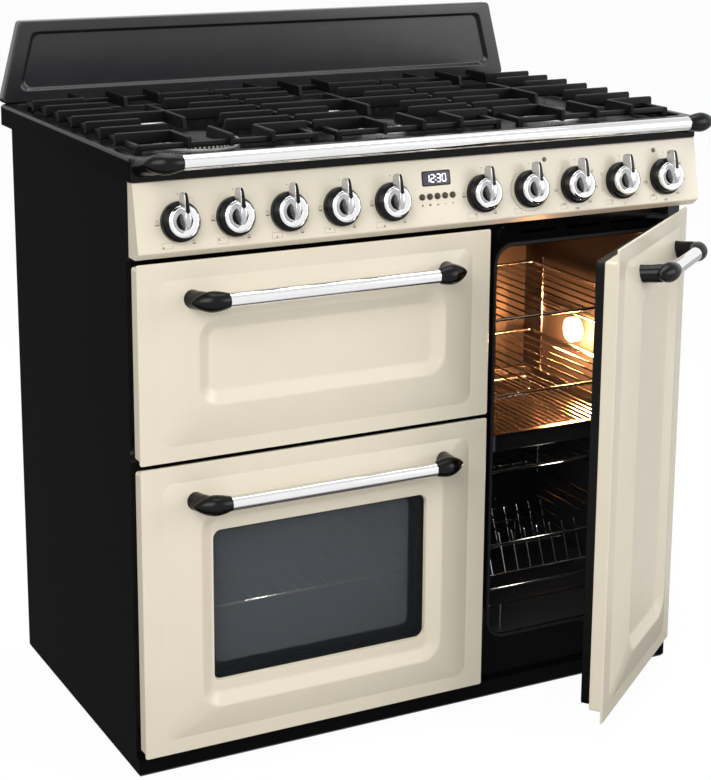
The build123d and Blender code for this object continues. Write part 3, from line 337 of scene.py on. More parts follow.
def inset_box(box, sides, low=None, high=None):
    """A box drawn in at its sides, its low end and its high end."""
    low = sides if low is None else low
    high = sides if high is None else high
    return box[0] + sides, box[1] - sides, box[2] + low, box[3] - high


shelf_depth = span("oven_shelves")[2:4]
tall_shelf = inset_box((*tall_mouth, *shelf_depth), SHELF_GAP, 0, 0)
left_shelf = inset_box((*left_mouth, *shelf_depth), SHELF_GAP, 0, 0)
tray_floor, tray_top = span("roasting_tray")[4:]
trivet = inset_box(tall_shelf, TRIVET_INSET)
trivet_level = tray_floor + 13.5
shelves = [(f"tall_shelf_{k}", tall_shelf, tall_level + k * RUNG_PITCH, SHELF_PITCH) for k in (0, 2, 4, 6)]
shelves += [(f"main_shelf_{k}", left_shelf, main_level + k * RUNG_PITCH, SHELF_PITCH) for k in (1, 3)]
shelves.append(("grill_shelf", left_shelf, grill_level, SHELF_PITCH))
shelves.append(("roasting_trivet", trivet, trivet_level, TRIVET_PITCH))
shelf_frames = []
for name, box, level, pitch in shelves:
    z = level + WIRE / 2
    x0, x1, y0, y1 = inset_box(box, WIRE / 2)
    middle = ((x0 + x1) / 2, y0, z)
    frame_run = bent([middle, (x1, y0, z), (x1, y1, z), (x0, y1, z), (x0, y0, z), middle], 9.0)
    shelf_frames.append(tube(frame_run[:-1], FRAME_RADIUS, 12, ring=True))
    count = int((box[1] - box[0]) / pitch) - 1
    first = (x0 + x1 - (count - 1) * pitch) / 2
    wire = tube([(first, y0, z), (first, y1, z)], FINE_RADIUS, 8)
    wire_row(f"{name}_wires", wire, count, (pitch, 0, 0))
x0, x1, y0, y1 = inset_box(trivet, WIRE / 2)
for x in (x0, x1):
    for y in (y0, y1):
        foot, head = (x, y, tray_floor + 1.6), (x, y, trivet_level + WIRE / 2)
        shelf_frames.append(tube([foot, head], WIRE / 2))
piece("shelf_frames", "casing", [(plated_wire, shelf_frames)], ("oven_shelves",))

# Roasting tray: a pan deep-drawn from steel sheet under speckled black enamel. Its flat rim lies loose on
# two rungs of the tall oven.
TRAY_GAUGE = 1.5
TRAY_DEPTH = 30.0


def ring_of(corners, radius, steps=8):
    """A convex outline in a plane with each corner rounded by the same number of points."""
    corners = [Vector(c) for c in corners]
    count = len(corners)
    loop = []
    for k, here in enumerate(corners):
        around = [corners[k - 1], here, corners[(k + 1) % count]]
        loop += bent(around, max(radius, 0.05), steps)[1:-1]
    return loop


def pressed(keys, profile, lay):
    """Loops of a pressing. Keys give, at each inset, the box of the outline and its corner radius. The
    profile is a path of (inset, height), and lay turns outline point and height to a place."""
    loops = []
    for inset, height in profile:
        low = max((key for key in keys if key[0] <= inset + 1e-6), key=lambda key: key[0])
        high = min((key for key in keys if key[0] >= inset - 1e-6), key=lambda key: key[0])
        share = (inset - low[0]) / (high[0] - low[0]) if high[0] > low[0] else 0.0
        x0, x1, z0, z1, radius = (a + share * (b - a) for a, b in zip(low[1], high[1]))
        outline = ring_of([(x0, z0), (x1, z0), (x1, z1), (x0, z1)], radius)
        loops.append([lay(p.x, p.y, height) for p in outline])
    return loops


def flat_lay(x, y, z):
    """Lays an outline level."""
    return Vector((x, y, z))


# Speckled tray enamel: black with grey flecks, glossy
tray_enamel = coat("speckled_tray_enamel", "#0C0C0D", "#222224", 1.5, 0.01, {"Roughness": 0.25}, 4.0)
tray_keys = [(0, (*tall_shelf, 14)), (20, (*inset_box(tall_shelf, 20), 22))]
tray_inside = TRAY_GAUGE - TRAY_DEPTH
tray_run = [(14, -TRAY_DEPTH), (10, -TRAY_DEPTH), (9.5, 0), (0, 0), (0, TRAY_GAUGE), (11, TRAY_GAUGE),
            (12, tray_inside), (17, tray_inside)]
tray_path = [(p.x, p.y + tray_top - TRAY_GAUGE) for p in bent(tray_run, [4, 1, 0, 0, 2, 4])]
tray_skin = shell(pressed(tray_keys, tray_path, flat_lay))
piece("roasting_pan", "casing", [(tray_enamel, [tray_skin])], ("roasting_tray",))

# Plate rack on the floor of the tall oven: plated wire, with two front rails and rows of leaning posts,
# welded to a frame on four short feet.
RACK_RISE = 33.0
RAIL_GAP = 25.0
POST_PITCH = 24.0
RACK_FOOT_INSET = 26.0
rack = span("plate_rack")
rack_floor, rack_top = rack[4:]
rack_level = rack_floor + RACK_RISE
x0, x1, y0, y1 = inset_box(rack, WIRE / 2)
rack_loop = [Vector((p.x, p.y, rack_level)) for p in ring_of([(x0, y0), (x1, y0), (x1, y1), (x0, y1)], 8.0)]
rack_wires = [tube(rack_loop, WIRE / 2, ring=True)]
upper = rack_level + RAIL_GAP
rack_bow = [(x0, y0, rack_level), (x0, y0, upper), (x1, y0, upper), (x1, y0, rack_level)]
rack_wires.append(tube(bent(rack_bow, 8.0), WIRE / 2))
for k in (1, 2):
    y = y0 + k * (y1 - y0) / 3
    rack_wires.append(tube([(x0, y, rack_level), (x1, y, rack_level)], WIRE / 2))
    posts = int((rack[1] - rack[0]) / POST_PITCH) - 1
    x = (x0 + x1 - POST_PITCH * (posts - 1)) / 2
    post_run = [(x, y, rack_level), (x, y + 24, rack_top - 4), (x, y + 30, rack_top - 2)]
    wire_row(f"rack_posts_{k}", tube(bent(post_run, 6.0), FINE_RADIUS, 8), posts, (POST_PITCH, 0, 0))
for x in (x0 + RACK_FOOT_INSET, x1 - RACK_FOOT_INSET):
    for y in (y0, y1):
        rack_wires.append(tube([(x, y, rack_floor), (x, y, rack_level)], WIRE / 2))
piece("plate_rack_wires", "casing", [(plated_wire, rack_wires)], ("plate_rack",))

# Hob: deep-drawn steel tray under black enamel, with a raised rim, a skirt that drops over the casing
# and a sunken well. It is screwed down from below.
SKIRT_DEPTH = 32.0
WELL_DEPTH = 15.0
hob = span("hob_tray")
hob_box = hob[:4]
hob_top = hob[5]
hob_keys = [(0, (*hob_box, 7)), (13, (*inset_box(hob_box, 13), 16)), (40, (*inset_box(hob_box, 40), 12))]
hob_run = [(10, -18), (3, -18), (3, -SKIRT_DEPTH), (0, -SKIRT_DEPTH), (0, 0), (14, 0), (20, -WELL_DEPTH),
           (34, -WELL_DEPTH)]
hob_path = [(p.x, p.y + hob_top) for p in bent(hob_run, [0, 0.5, 0.5, 5, 4, 6])]
hob_skin = shell(pressed(hob_keys, hob_path, flat_lay))
# Satin hob enamel: as black as the casing's, and duller
hob_sheen = {"Roughness": 0.24, "Specular IOR Level": 0.14}
hob_enamel = coat("satin_black_hob_enamel", "#060607", "#0A0A0B", 40.0, 0.004, hob_sheen)
piece("hob_pressing", "casing", [(hob_enamel, [hob_skin])], ("hob_tray",))

# Burners: cast aluminium bowls with toothed crowns that stand in the well, and loose enamelled caps.
# The wok burner at the front left has a second ring of flame outside its cap.
WOK_CAP = 37.0
WIDE_CAP = 35.0
SMALL_CAP = 27.0
WOK_BOWL = 60.0
WOK_CROWN = 58.0
TOOTH_PITCH = 6.0


def hoop(middle, axis, radius, sides):
    """A circle of points round an axis, or its middle alone where the radius is nothing."""
    if radius < 0.01:
        return [middle]
    side = axis.orthogonal().normalized()
    other = axis.cross(side)
    turns = [2 * pi * k / sides for k in range(sides)]
    return [middle + radius * (cos(t) * side + sin(t) * other) for t in turns]


def lathe(profile, origin, axis=(0, 0, 1), sides=40):
    """A turned form: the profile is (distance along the axis, radius)."""
    axis = Vector(axis).normalized()
    return shell([hoop(Vector(origin) + along * axis, axis, radius, sides) for along, radius in profile])


def soft(profile, radius):
    """A profile with its corners rounded."""
    return [(p.x, p.y) for p in bent(profile, radius, 4)]


# One part round a circle, each copy turned outward, as the teeth of a crown are
ring_inputs = [("Radius", "Float"), ("Middle", "Vector")]
ring_tree, ring_sockets, ring_in = layout_tree("ring_of_parts", ring_inputs)
ring_size = {"Vertices": ring_in["Count"], "Radius": ring_in["Radius"]}
ring_line = add(ring_tree, "GeometryNodeMeshCircle", ring_size)
ring_out = add(ring_tree, "GeometryNodeInputPosition").outputs[0]
ring_turn = add(ring_tree, "FunctionNodeAlignRotationToVector", {"Vector": ring_out}, axis="X")
ring_set = {"Points": ring_line.outputs[0], "Instance": ring_in["Part"], "Rotation": ring_turn.outputs[0]}
ring_copies = add(ring_tree, "GeometryNodeInstanceOnPoints", ring_set)
ring_move = {"Geometry": ring_copies.outputs[0], "Translation": ring_in["Middle"]}
ring_moved = add(ring_tree, "GeometryNodeTransform", ring_move)
close_tree(ring_tree, ring_moved.outputs[0], ring_in["Finish"])


def slab(x0, x1, y0, y1, z0, z1, bevel=0.0):
    """A block with bevelled top edges."""
    outline = ((x0, x1, y0, y1), (x0 + bevel, x1 - bevel, y0 + bevel, y1 - bevel))
    levels = ((outline[0], z0), (outline[0], z1 - bevel), (outline[1], z1))
    return shell([[(a[0], a[2], z), (a[1], a[2], z), (a[1], a[3], z), (a[0], a[3], z)] for a, z in levels])


# Cast aluminium: pale grey, with blurred reflections
cast_sheen = {"Metallic": 0.4, "Roughness": 0.3}
cast_aluminium = coat("cast_aluminium", "#DCDCDA", "#F4F4F2", 1.5, 0.02, cast_sheen)
# Matt cap enamel: black, with a soft wide highlight
cap_sheen = {"Roughness": 0.36, "Specular IOR Level": 0.16}
cap_enamel = coat("matt_cap_enamel", "#060607", "#0D0D0F", 1.5, 0.01, cap_sheen)
well = hob_top - WELL_DEPTH
support_boxes = {side: span(f"pan_support_{side}") for side in ("left", "middle", "right")}
burner_columns = [(box[0] + box[1]) / 2 for box in support_boxes.values()]
burner_rows = (-110.0, 122.0)
burners = (("front_left", 0, 0, WOK_CAP), ("rear_left", 0, 1, WIDE_CAP), ("front_middle", 1, 0, SMALL_CAP),
           ("rear_middle", 1, 1, WIDE_CAP), ("front_right", 2, 0, WIDE_CAP), ("rear_right", 2, 1, SMALL_CAP))
bowls = []
caps = []
for name, column, line, cap in burners:
    x, y = burner_columns[column], burner_rows[line]
    middle = (x, y, well)
    crowns = [(cap + 0.6, 3.5, 6.8)]
    wide = cap + 8
    if cap == WOK_CAP:
        wide = WOK_BOWL
        crowns.append((WOK_CROWN, 1.0, 6.6))
        rim = soft([(3, 51), (7.6, 51.5), (8, 55), (7.6, 58.5), (3, 59)], [1, 1, 1])
        caps.append(lathe([(3, 0), *rim, (2.9, 0)], middle))
    bowl = soft([(0, wide), (2.5, wide), (4, wide - 4), (4, cap - 6), (8, cap - 7), (8, 0)], [1, 2, 1, 0])
    bowls.append(lathe([(0, 0), *bowl], middle))
    dome = soft([(8, cap - 2), (9, cap), (11.5, cap - 0.5), (14.2, cap - 8), (15, 0)], [0.5, 1, 4])
    caps.append(lathe([(8, 0), *dome], middle))
    for ring, (radius, foot, tall) in enumerate(crowns):
        tooth = [(cast_aluminium, [slab(-2.2, 2.2, -1.5, 1.5, 0, tall, 0.3)])]
        teeth = int(2 * pi * radius / TOOTH_PITCH)
        values = {"Count": teeth, "Radius": radius * MM, "Finish": cast_aluminium}
        values["Middle"] = [v * MM for v in (x, y, well + foot)]
        layout = (ring_tree, ring_sockets, values)
        piece(f"{name}_crown_{ring}", "casing", tooth, layout=layout)
piece("burner_bowls", "casing", [(cast_aluminium, bowls)], ("burner_bodies",))
piece("burner_lids", "casing", [(cap_enamel, caps)], ("burner_caps",))

# Pan supports: three iron castings under matt black enamel, standing loose on feet in the well. Their
# fingers have softened top edges and sloping free ends.
FINGER_WIDTH = 7.0
FINGER_SLOPE = 4.0
FINGER_STEP = 58.0
FINGER_STOP = 40.0
SIDE_FINGER_STOP = 57.5
END_FINGER_STEP = 61.0
END_FINGER_STOP = 54.5
END_ROUNDING = 1.5
LOW_BAR_WIDTH = 9.0
LOW_BAR_HEIGHT = 8.0
FOOT_HALF = 4.0


def finger(start, end, slope=0.0, width=FINGER_WIDTH, height=None):
    """A cast bar on the level between two points; slope is how far its free end leans back at the top."""
    start, end = Vector((*start, 0)), Vector((*end, 0))
    run = (end - start).normalized()
    across = Vector((-run.y, run.x, 0))
    half = width / 2
    foot = grate_foot
    top = foot + height if height else grate_top
    middle = (foot + top) / 2
    section = ring_of([(-half, foot), (half, foot), (half * 0.86, top), (-half * 0.86, top)], 2.0, 3)
    stations = ((start, 0.0, 0.0, 0.8), (start, END_ROUNDING, 0.0, 1.0), (end, -END_ROUNDING, slope, 1.0),
                (end, 0.0, slope, 0.8))
    loops = []
    for at, step, lean, shrink in stations:
        loop = []
        for p in section:
            z = middle + (p.y - middle) * shrink
            back = lean * (z - foot) / (top - foot)
            loop.append(at + across * p.x * shrink + run * (step - back) + Vector((0, 0, z)))
        loops.append(loop)
    return shell(loops)


# Matt enamel over sand-cast iron: black and grainy, with weak highlights on its edges
iron_sheen = {"Roughness": 0.45, "Specular IOR Level": 0.18}
cast_iron = coat("matt_enamelled_cast_iron", "#060607", "#0D0D0E", 0.9, 0.04, iron_sheen, 3.0)
grate_foot, grate_top = hob_top + 1, support_boxes["middle"][5]
for side, box in support_boxes.items():
    left, right, front, rear = box[:4]
    middle = (left + right) / 2
    bridge = sum(burner_rows) / 2
    lines = [(bridge, 0.0)]
    for y in burner_rows:
        lines += [(y, FINGER_STOP), (y - FINGER_STEP, SIDE_FINGER_STOP), (y + FINGER_STEP, SIDE_FINGER_STOP)]
    bars = []
    for y, stop in lines:
        for edge, way in ((left, -1), (right, 1)):
            bars.append(finger((edge, y), (middle + way * stop, y), FINGER_SLOPE if stop else 0.0))
    for step in (-END_FINGER_STEP, 0.0, END_FINGER_STEP):
        stop = END_FINGER_STOP if step else FINGER_STOP
        x = middle + step
        for edge, y in ((front, burner_rows[0] - stop), (rear, burner_rows[1] + stop)):
            bars.append(finger((x, edge), (x, y), FINGER_SLOPE))
    for y in (burner_rows[0] + FINGER_STOP, burner_rows[1] - FINGER_STOP):
        bars.append(finger((middle, bridge), (middle, y), FINGER_SLOPE))
    x0, x1, y0, y1 = inset_box((left, right, front, rear), LOW_BAR_WIDTH)
    rows = (y0 + LOW_BAR_WIDTH / 2, y1 - LOW_BAR_WIDTH / 2)
    for x in (x0 + LOW_BAR_WIDTH / 2, x1 - LOW_BAR_WIDTH / 2):
        bars.append(finger((x, y0), (x, y1), 0.0, LOW_BAR_WIDTH, LOW_BAR_HEIGHT))
        for y in rows:
            foot = (x - FOOT_HALF, x + FOOT_HALF, y - FOOT_HALF, y + FOOT_HALF, well, grate_foot + 6)
            bars.append(slab(*foot, 1.0))
    for y in rows:
        bars.append(finger((x0, y), (x1, y), 0.0, LOW_BAR_WIDTH, LOW_BAR_HEIGHT))
    body = f"pan_support_{side}_body"
    piece(f"grate_{side}", body, [(cast_iron, bars)], (f"pan_support_{side}",))

# Splashback: pressed steel under black enamel, tapered to the top, with a sunken field. It stands on the
# rear rim of the hob and is hollow behind.
SPLASH_TAPER = 32.5
FOOT_BORDER = 18.0
HEAD_BORDER = 17.0
SIDE_BORDER = 24.0
MEAN_BORDER = 22.0
splash = span("splashback")
splash_half, splash_front, splash_foot, splash_top = splash[1], splash[2], splash[4], splash[5]


def splash_loop(inset, depth, corner):
    """One level outline of the splashback's face, drawn in by a share of its borders."""
    low, high = splash_foot + FOOT_BORDER * inset, splash_top - HEAD_BORDER * inset
    points = []
    for z, way in ((low, -1), (low, 1), (high, 1), (high, -1)):
        taper = SPLASH_TAPER * (z - splash_foot) / (splash_top - splash_foot)
        points.append((way * (splash_half - taper - SIDE_BORDER * inset), z))
    return [Vector((p.x, splash_front + depth, p.y)) for p in ring_of(points, corner)]


splash_run = [(0.14, 9), (0.14, 18), (0, 18), (0, 0), (1, 0), (1.22, 5), (1.6, 5)]
splash_path = bent([(MEAN_BORDER * k, depth) for k, depth in splash_run], [0.5, 0.5, 3, 3, 3], 4)
splash_skin = shell([splash_loop(p.x / MEAN_BORDER, p.y, 7 + p.x * 0.2) for p in splash_path])
# Satin enamel: greyer and duller than the casing's
splash_enamel = coat("satin_grey_black_enamel", "#222225", "#2A2A2D", 40.0, 0.004, {"Roughness": 0.22})
piece("splashback_pressing", "casing", [(splash_enamel, [splash_skin])], ("splashback",))

# Rails and handles: chromed steel tube held between black moulded ends, which swell like an acorn, lean
# back and close to a point. Each end stands on a stout round post that is screwed on from behind.
END_LENGTH = 49.0
END_SWELL_AT = 21.0
END_NECK = 10.8
END_SWELL = 14.2
END_LEAN = 7.0
POST_HEAD_AT = 26.0
POST_FOOT_AT = 34.0
POST_START = 2.5


def acorn(junction, outward, axis_y, axis_z):
    """The end of a bar that runs along X, as circles whose middles lean back towards the seat."""
    profile = [(-3, 0), (-3, 10.2), (0, 10.6), (0.6, END_NECK)]
    for k in range(1, 9):
        t = k / 8
        profile.append((END_SWELL_AT * t, END_NECK + (END_SWELL - END_NECK) * sin(t * pi / 2)))
    for k in range(1, 13):
        t = k / 12
        profile.append((END_SWELL_AT + (END_LENGTH - END_SWELL_AT) * t, END_SWELL * (1 - t ** 1.7) ** 0.75))
    loops = []
    for run, radius in profile:
        lean = END_LEAN * max(0.0, run / END_LENGTH) ** 1.6
        middle = Vector((junction + outward * run, axis_y + lean, axis_z))
        loops.append(hoop(middle, Vector((1, 0, 0)), radius, 32))
    return shell(loops)


def stout_post(junction, outward, axis_y, axis_z, seat_y, drop):
    """The post behind an end piece, as circles from a head inside the swell to a wider, lower foot."""
    circles = [(0.0, 0), (0.0, 9.0), (0.06, 11.6), (0.16, 12.9), (0.34, 13.1), (0.6, 12.6), (0.85, 12.8)]
    loops = []
    for share, radius in circles + [(1.0, 13.5), (1.0, 0)]:
        along = POST_HEAD_AT + (POST_FOOT_AT - POST_HEAD_AT) * share
        depth = axis_y + POST_START + (seat_y - axis_y - POST_START) * share
        middle = Vector((junction + outward * along, depth, axis_z - drop * share))
        loops.append(hoop(middle, Vector((0, 1, 0)), radius, 32))
    return shell(loops)


def bar_and_ends(name, body, half, radius, middle, seat_y, drop, place, nodes):
    """A chrome bar along X with its two black ends."""
    x, y, z = middle
    bar_profile = soft([(0, 0), (0, radius), (2 * half, radius), (2 * half, 0)], [0.5, 0.5])
    bar = lathe(bar_profile, (x - half, y, z), (1, 0, 0), 48)
    piece(f"{name}_tube", body, [(bright_chrome, [bar])], nodes[:1], place)
    ends = []
    for outward in (-1, 1):
        ends.append(acorn(x + outward * half, outward, y, z))
        ends.append(stout_post(x + outward * half, outward, y, z, seat_y, drop))
    piece(f"{name}_end_pieces", body, [(black_plastic, ends)], nodes[1:], place)


# Polished chrome: a clear mirror of the white surround
chrome_sheen = {"Metallic": 1.0, "Roughness": 0.07}
bright_chrome = coat("polished_chrome", "#EDEDEE", "#F6F6F7", 30.0, 0.002, chrome_sheen)
# Moulded plastic: black, with small soft highlights
plastic_sheen = {"Roughness": 0.24, "Specular IOR Level": 0.2}
black_plastic = coat("satin_black_moulding", "#060607", "#0A0A0B", 3.0, 0.004, plastic_sheen)
RAIL_RADIUS = 10.0
RAIL_DROP = 10.0
rail = span("hob_rail")
rail_middle = (0.0, (rail[2] + rail[3]) / 2, (rail[4] + rail[5]) / 2)
rail_nodes = ("hob_rail", "hob_rail_ends")
rail_seat = hob[2] + 1
rail_bar = (rail[1], RAIL_RADIUS, rail_middle)
bar_and_ends("front_rail", "casing", *rail_bar, rail_seat, RAIL_DROP, None, rail_nodes)

# Control panel: cream enamelled steel, folded to a slanted face with a rounded nose under it. It is
# screwed to the front edges of the side panels, under the hob.
PANEL_LEAN = 18.0
NOSE_RISE = 10.0
NOSE_TUCK = 13.0
# Cream vitreous enamel: warm white, smooth, with wide soft highlights
cream_enamel = coat("cream_vitreous_enamel", "#E4DBC8", "#E8E0CE", 60.0, 0.002, {"Roughness": 0.24})
panel_x0, panel_x1, panel_nose, panel_rear, panel_foot, panel_head = span("control_panel")
slope_foot = panel_foot + NOSE_RISE
panel_section = [(panel_rear, panel_head), (panel_nose + PANEL_LEAN, panel_head), (panel_nose, slope_foot),
                 (panel_nose + NOSE_TUCK, panel_foot), (panel_rear, panel_foot)]
rounding = (0.5, 3.0, 3.0, 5.0, 0.5)
panel_loop = []
for k, here in enumerate(panel_section):
    around = (panel_section[k - 1], here, panel_section[(k + 1) % len(panel_section)])
    panel_loop += bent(around, rounding[k], 6)[1:-1]
panel_middle = Vector((panel_rear - 12, (panel_foot + panel_head) / 2))
panel_loops = []
for x, shrink in ((panel_x0, 0.985), (panel_x0 + 1.2, 1.0), (panel_x1 - 1.2, 1.0), (panel_x1, 0.985)):
    drawn = [panel_middle + (p - panel_middle) * shrink for p in panel_loop]
    panel_loops.append([Vector((x, p.x, p.y)) for p in drawn])
panel_skin = shell(panel_loops)
piece("control_fascia", "casing", [(cream_enamel, [panel_skin])], ("control_panel",))

# Clock and indicator lamps: a dark clear window with lit figures behind it, and two small amber lenses,
# clipped into holes in the fascia.
WINDOW_RISE = 19.0
FIGURE_HEIGHT = 10.4
FIGURE_STROKE = 1.4
FIGURE_OUT = 0.75
LAMP_RISE = 32.0
slope = atan2(PANEL_LEAN, panel_head - slope_foot)
panel_up = Vector((0, sin(slope), cos(slope)))
panel_out = Vector((0, -cos(slope), sin(slope)))
slope_middle = Vector((0, panel_nose + PANEL_LEAN / 2, (panel_head + slope_foot) / 2))


def on_panel(x, rise, out=0.0):
    """A place on the slanted face: to the right, up the slope and out from it."""
    return slope_middle + Vector((x, 0, 0)) + rise * panel_up + out * panel_out


def printed(points, x, rise, out=0.12):
    """A thin flat mark on the slanted face, from an outline round its own middle."""
    return shell([[on_panel(x + px, rise + py, height) for px, py in points] for height in (-0.3, out)])


def oblong(half_width, half_height):
    """The corners of a flat oblong round its middle."""
    w, h = half_width, half_height
    return [(-w, -h), (w, -h), (w, h), (-w, h)]


def figure_strokes(character, x, rise):
    """The lit strokes of one seven-stroke figure."""
    strokes = {"1": "bc", "2": "abged", "3": "abgcd", "0": "abcdef"}[character]
    half, full = FIGURE_HEIGHT / 2, FIGURE_HEIGHT * 0.52
    places = {"a": (0, FIGURE_HEIGHT), "g": (0, half), "d": (0, 0), "b": (full / 2, half * 1.5),
              "c": (full / 2, half / 2), "e": (-full / 2, half / 2), "f": (-full / 2, half * 1.5)}
    level, upright = oblong(full * 0.42, FIGURE_STROKE / 2), oblong(FIGURE_STROKE / 2, half * 0.42)
    marks = []
    for key in strokes:
        dx, dz = places[key]
        marks.append(printed(level if key in "agd" else upright, x + dx, rise + dz, FIGURE_OUT))
    return marks


# Dark clear plastic: violet-black, with a clear highlight
display_lens = coat("dark_display_lens", "#2A283E", "#343248", 8.0, 0.002, {"Roughness": 0.12})
# Lit figures: cold white, evenly bright
figure_glow = {"Emission Color": linear("#E4E4FF"), "Emission Strength": 1.6}
lit_figures = coat("lit_clock_figures", "#E6E6FF", "#F4F4FF", 8.0, 0.002, figure_glow)
# Amber plastic, unlit: dark red-brown and glossy
amber_lens = coat("amber_lamp_lens", "#4A1F12", "#6B2C18", 2.0, 0.002, {"Roughness": 0.12})
window_face = ring_of(oblong(22, 10), 2.5, 4)
window_frame = printed([(p.x * 1.035, p.y * 1.06) for p in window_face], 0, WINDOW_RISE, 0.35)
window_pane = printed([(p.x * 0.95, p.y * 0.88) for p in window_face], 0, WINDOW_RISE, 0.6)
figures = []
for character, x in (("1", -14.0), ("2", -6.0), ("3", 4.0), ("0", 12.5)):
    figures += figure_strokes(character, x, WINDOW_RISE - FIGURE_HEIGHT / 2)
for dz in (-2.4, 2.4):
    figures.append(printed(oblong(0.8, 0.8), -1.0, WINDOW_RISE + dz, FIGURE_OUT))
lenses = []
for x in (180.0, 371.0):
    dome = soft([(-1, 3.4), (0.6, 3.4), (1.0, 2.6), (1.2, 0)], [0.3, 0.6])
    lenses.append(lathe([(-1, 0), *dome], on_panel(x, LAMP_RISE), panel_out, 20))
display_paints = [(black_plastic, [window_frame]), (display_lens, [window_pane]), (lit_figures, figures),
                  (amber_lens, lenses)]
piece("clock_and_lamps", "casing", display_paints, ("panel_windows",))

# Clock buttons: small domed plungers of bronze-coloured plastic, sprung from behind and guided by holes in
# the fascia.
BUTTON_COUNT = 5
BUTTON_PITCH = 12.2
BUTTON_RISE = -6.0
button_places = [(k - (BUTTON_COUNT - 1) / 2) * BUTTON_PITCH for k in range(BUTTON_COUNT)]
# Bronze-coloured moulding: dark brown, with a metal sheen
bronze_sheen = {"Metallic": 0.4, "Roughness": 0.3}
bronze = coat("bronze_button_moulding", "#2A2316", "#3A3222", 2.0, 0.002, bronze_sheen)
for k, x in enumerate(button_places, start=1):
    dome = soft([(-5, 4.5), (1.4, 4.5), (2.4, 3.2), (2.6, 0)], [0.8, 1.2])
    paints = [(bronze, [lathe([(-5, 0), *dome], on_panel(x, BUTTON_RISE), panel_out, 24)])]
    node = f"clock_button_{k}"
    piece(f"button_plunger_{k}", f"{node}_body", paints, (node,))

# Control knobs: black moulded skirts with a plated ring round a dark hollow, and a plated leaf-shaped lever
# with a dark inlay that overhangs the skirt. Each is pushed on to a spindle behind the fascia.
KNOB_RISE = -8.2
KNOB_FIRST = 73.0
KNOB_PITCH = 78.5
knob_places = sorted(way * (KNOB_FIRST + KNOB_PITCH * k) for way in (-1, 1) for k in range(5))
# Stations along the lever and its inlay: place up the slope, width, and lower and upper face out from it
lever_stations = (
    (-11.0, 1.2, 14.0, 30.0), (-9.0, 4.0, 14.0, 32.5), (-5.0, 8.0, 14.0, 34.0), (0.0, 11.0, 14.0, 34.6),
    (3.0, 11.6, 14.0, 34.8), (7.0, 10.2, 14.0, 34.8), (12.0, 8.4, 14.0, 34.6), (20.0, 7.6, 14.0, 34.4),
    (29.0, 6.8, 14.0, 34.0), (34.0, 6.0, 14.4, 33.2), (36.8, 4.6, 15.6, 31.6), (38.0, 2.2, 17.5, 29.0),
)
inlay_stations = (
    (9.6, 0.8, 33.0, 35.0), (12.0, 6.4, 33.0, 34.9), (20.0, 5.5, 33.0, 34.7), (29.0, 4.5, 32.6, 34.3),
    (34.0, 3.9, 32.0, 33.5), (36.6, 2.8, 30.5, 32.0), (37.3, 1.0, 30.0, 31.0),
)
skirt_profile = soft([(1, 26.0), (2.2, 27.2), (9.0, 26.8), (12.0, 24.6), (12.0, 20)], [0.5, 1.5, 2.0])
ring_profile = soft([(11.0, 21.5), (20.0, 21.5), (22.2, 18.5), (20.4, 11.4), (17.5, 11.0)], [1.0, 2.0, 1.0])
hollow_profile = [(17.4, 0), (17.4, 11.6), (18.1, 11.2), (17.9, 0)]
# Satin nickel plate: pale grey metal, with blurred reflections
nickel_sheen = {"Metallic": 0.8, "Roughness": 0.22}
satin_nickel = coat("satin_nickel_plate", "#BDBDC0", "#C9C9CC", 10.0, 0.002, nickel_sheen)
for k, x in enumerate(knob_places, start=1):
    middle = on_panel(x, KNOB_RISE)
    skirt = lathe([(1, 0), *skirt_profile, (12.0, 0)], middle, panel_out, 56)
    plated_ring = lathe([(11.0, 0), *ring_profile, (17.5, 0)], middle, panel_out, 56)
    hollow = lathe(hollow_profile, middle, panel_out, 32)
    blades = []
    for stations, rounding in ((lever_stations, 0.24), (inlay_stations, 0.1)):
        blade_loops = []
        for along, width, low, high in stations:
            half = width / 2
            corners = [(-half, low), (half, low), (half * 0.9, high), (-half * 0.9, high)]
            section = ring_of(corners, width * rounding, 3)
            blade_loops.append([on_panel(x + p.x, KNOB_RISE + along, p.y) for p in section])
        blades.append(shell(blade_loops))
    lever, inlay = blades
    paints = [(black_plastic, [skirt, hollow, inlay]), (bright_chrome, [plated_ring])]
    paints.append((satin_nickel, [lever]))
    piece(f"pointer_knob_{k}", f"knob_{k}_body", paints, (f"knob_{k}",), crease=45.0)

# Dial marks: thin dark print fired on the fascia. Flames and dots round the gas knobs, small plans of the
# hob, plain figures and rings round the oven knobs, and signs under the clock buttons.
# Knobs counted from the left, from 0: the first six have flames, one has an arc and one has boxes
GAS_KNOBS = 6
ARC_KNOB = 6
BOX_KNOB = 8
PLAN_X = -18.8
PLAN_RISE = KNOB_RISE - 30.2
SIGN_RISE = -17.5


def arc_band(radius, width, start, end, x, rise):
    """A thin printed arc, as a chain of short strokes."""
    marks = []
    steps = ceil(abs(end - start) / 0.14)
    for j in range(steps):
        a, b = start + (end - start) * j / steps, start + (end - start) * (j + 1) / steps
        inner, outer = radius - width / 2, radius + width / 2
        marks.append(printed([(inner * sin(a), inner * cos(a)), (outer * sin(a), outer * cos(a)),
                              (outer * sin(b), outer * cos(b)), (inner * sin(b), inner * cos(b))], x, rise))
    return marks


def dot(radius, x, rise):
    """A small printed disc."""
    turns = [2 * pi * j / 10 for j in range(10)]
    return printed([(radius * cos(t), radius * sin(t)) for t in turns], x, rise)


def line_box(width, height, x, rise):
    """A thin printed rectangle."""
    w, h, t = width / 2, height / 2, 0.3
    sides = [(-w, -h, w, -h + t), (-w, h - t, w, h), (-w, -h, -w + t, h), (w - t, -h, w, h)]
    return [printed([(a, b), (c, b), (c, d), (a, d)], x, rise) for a, b, c, d in sides]


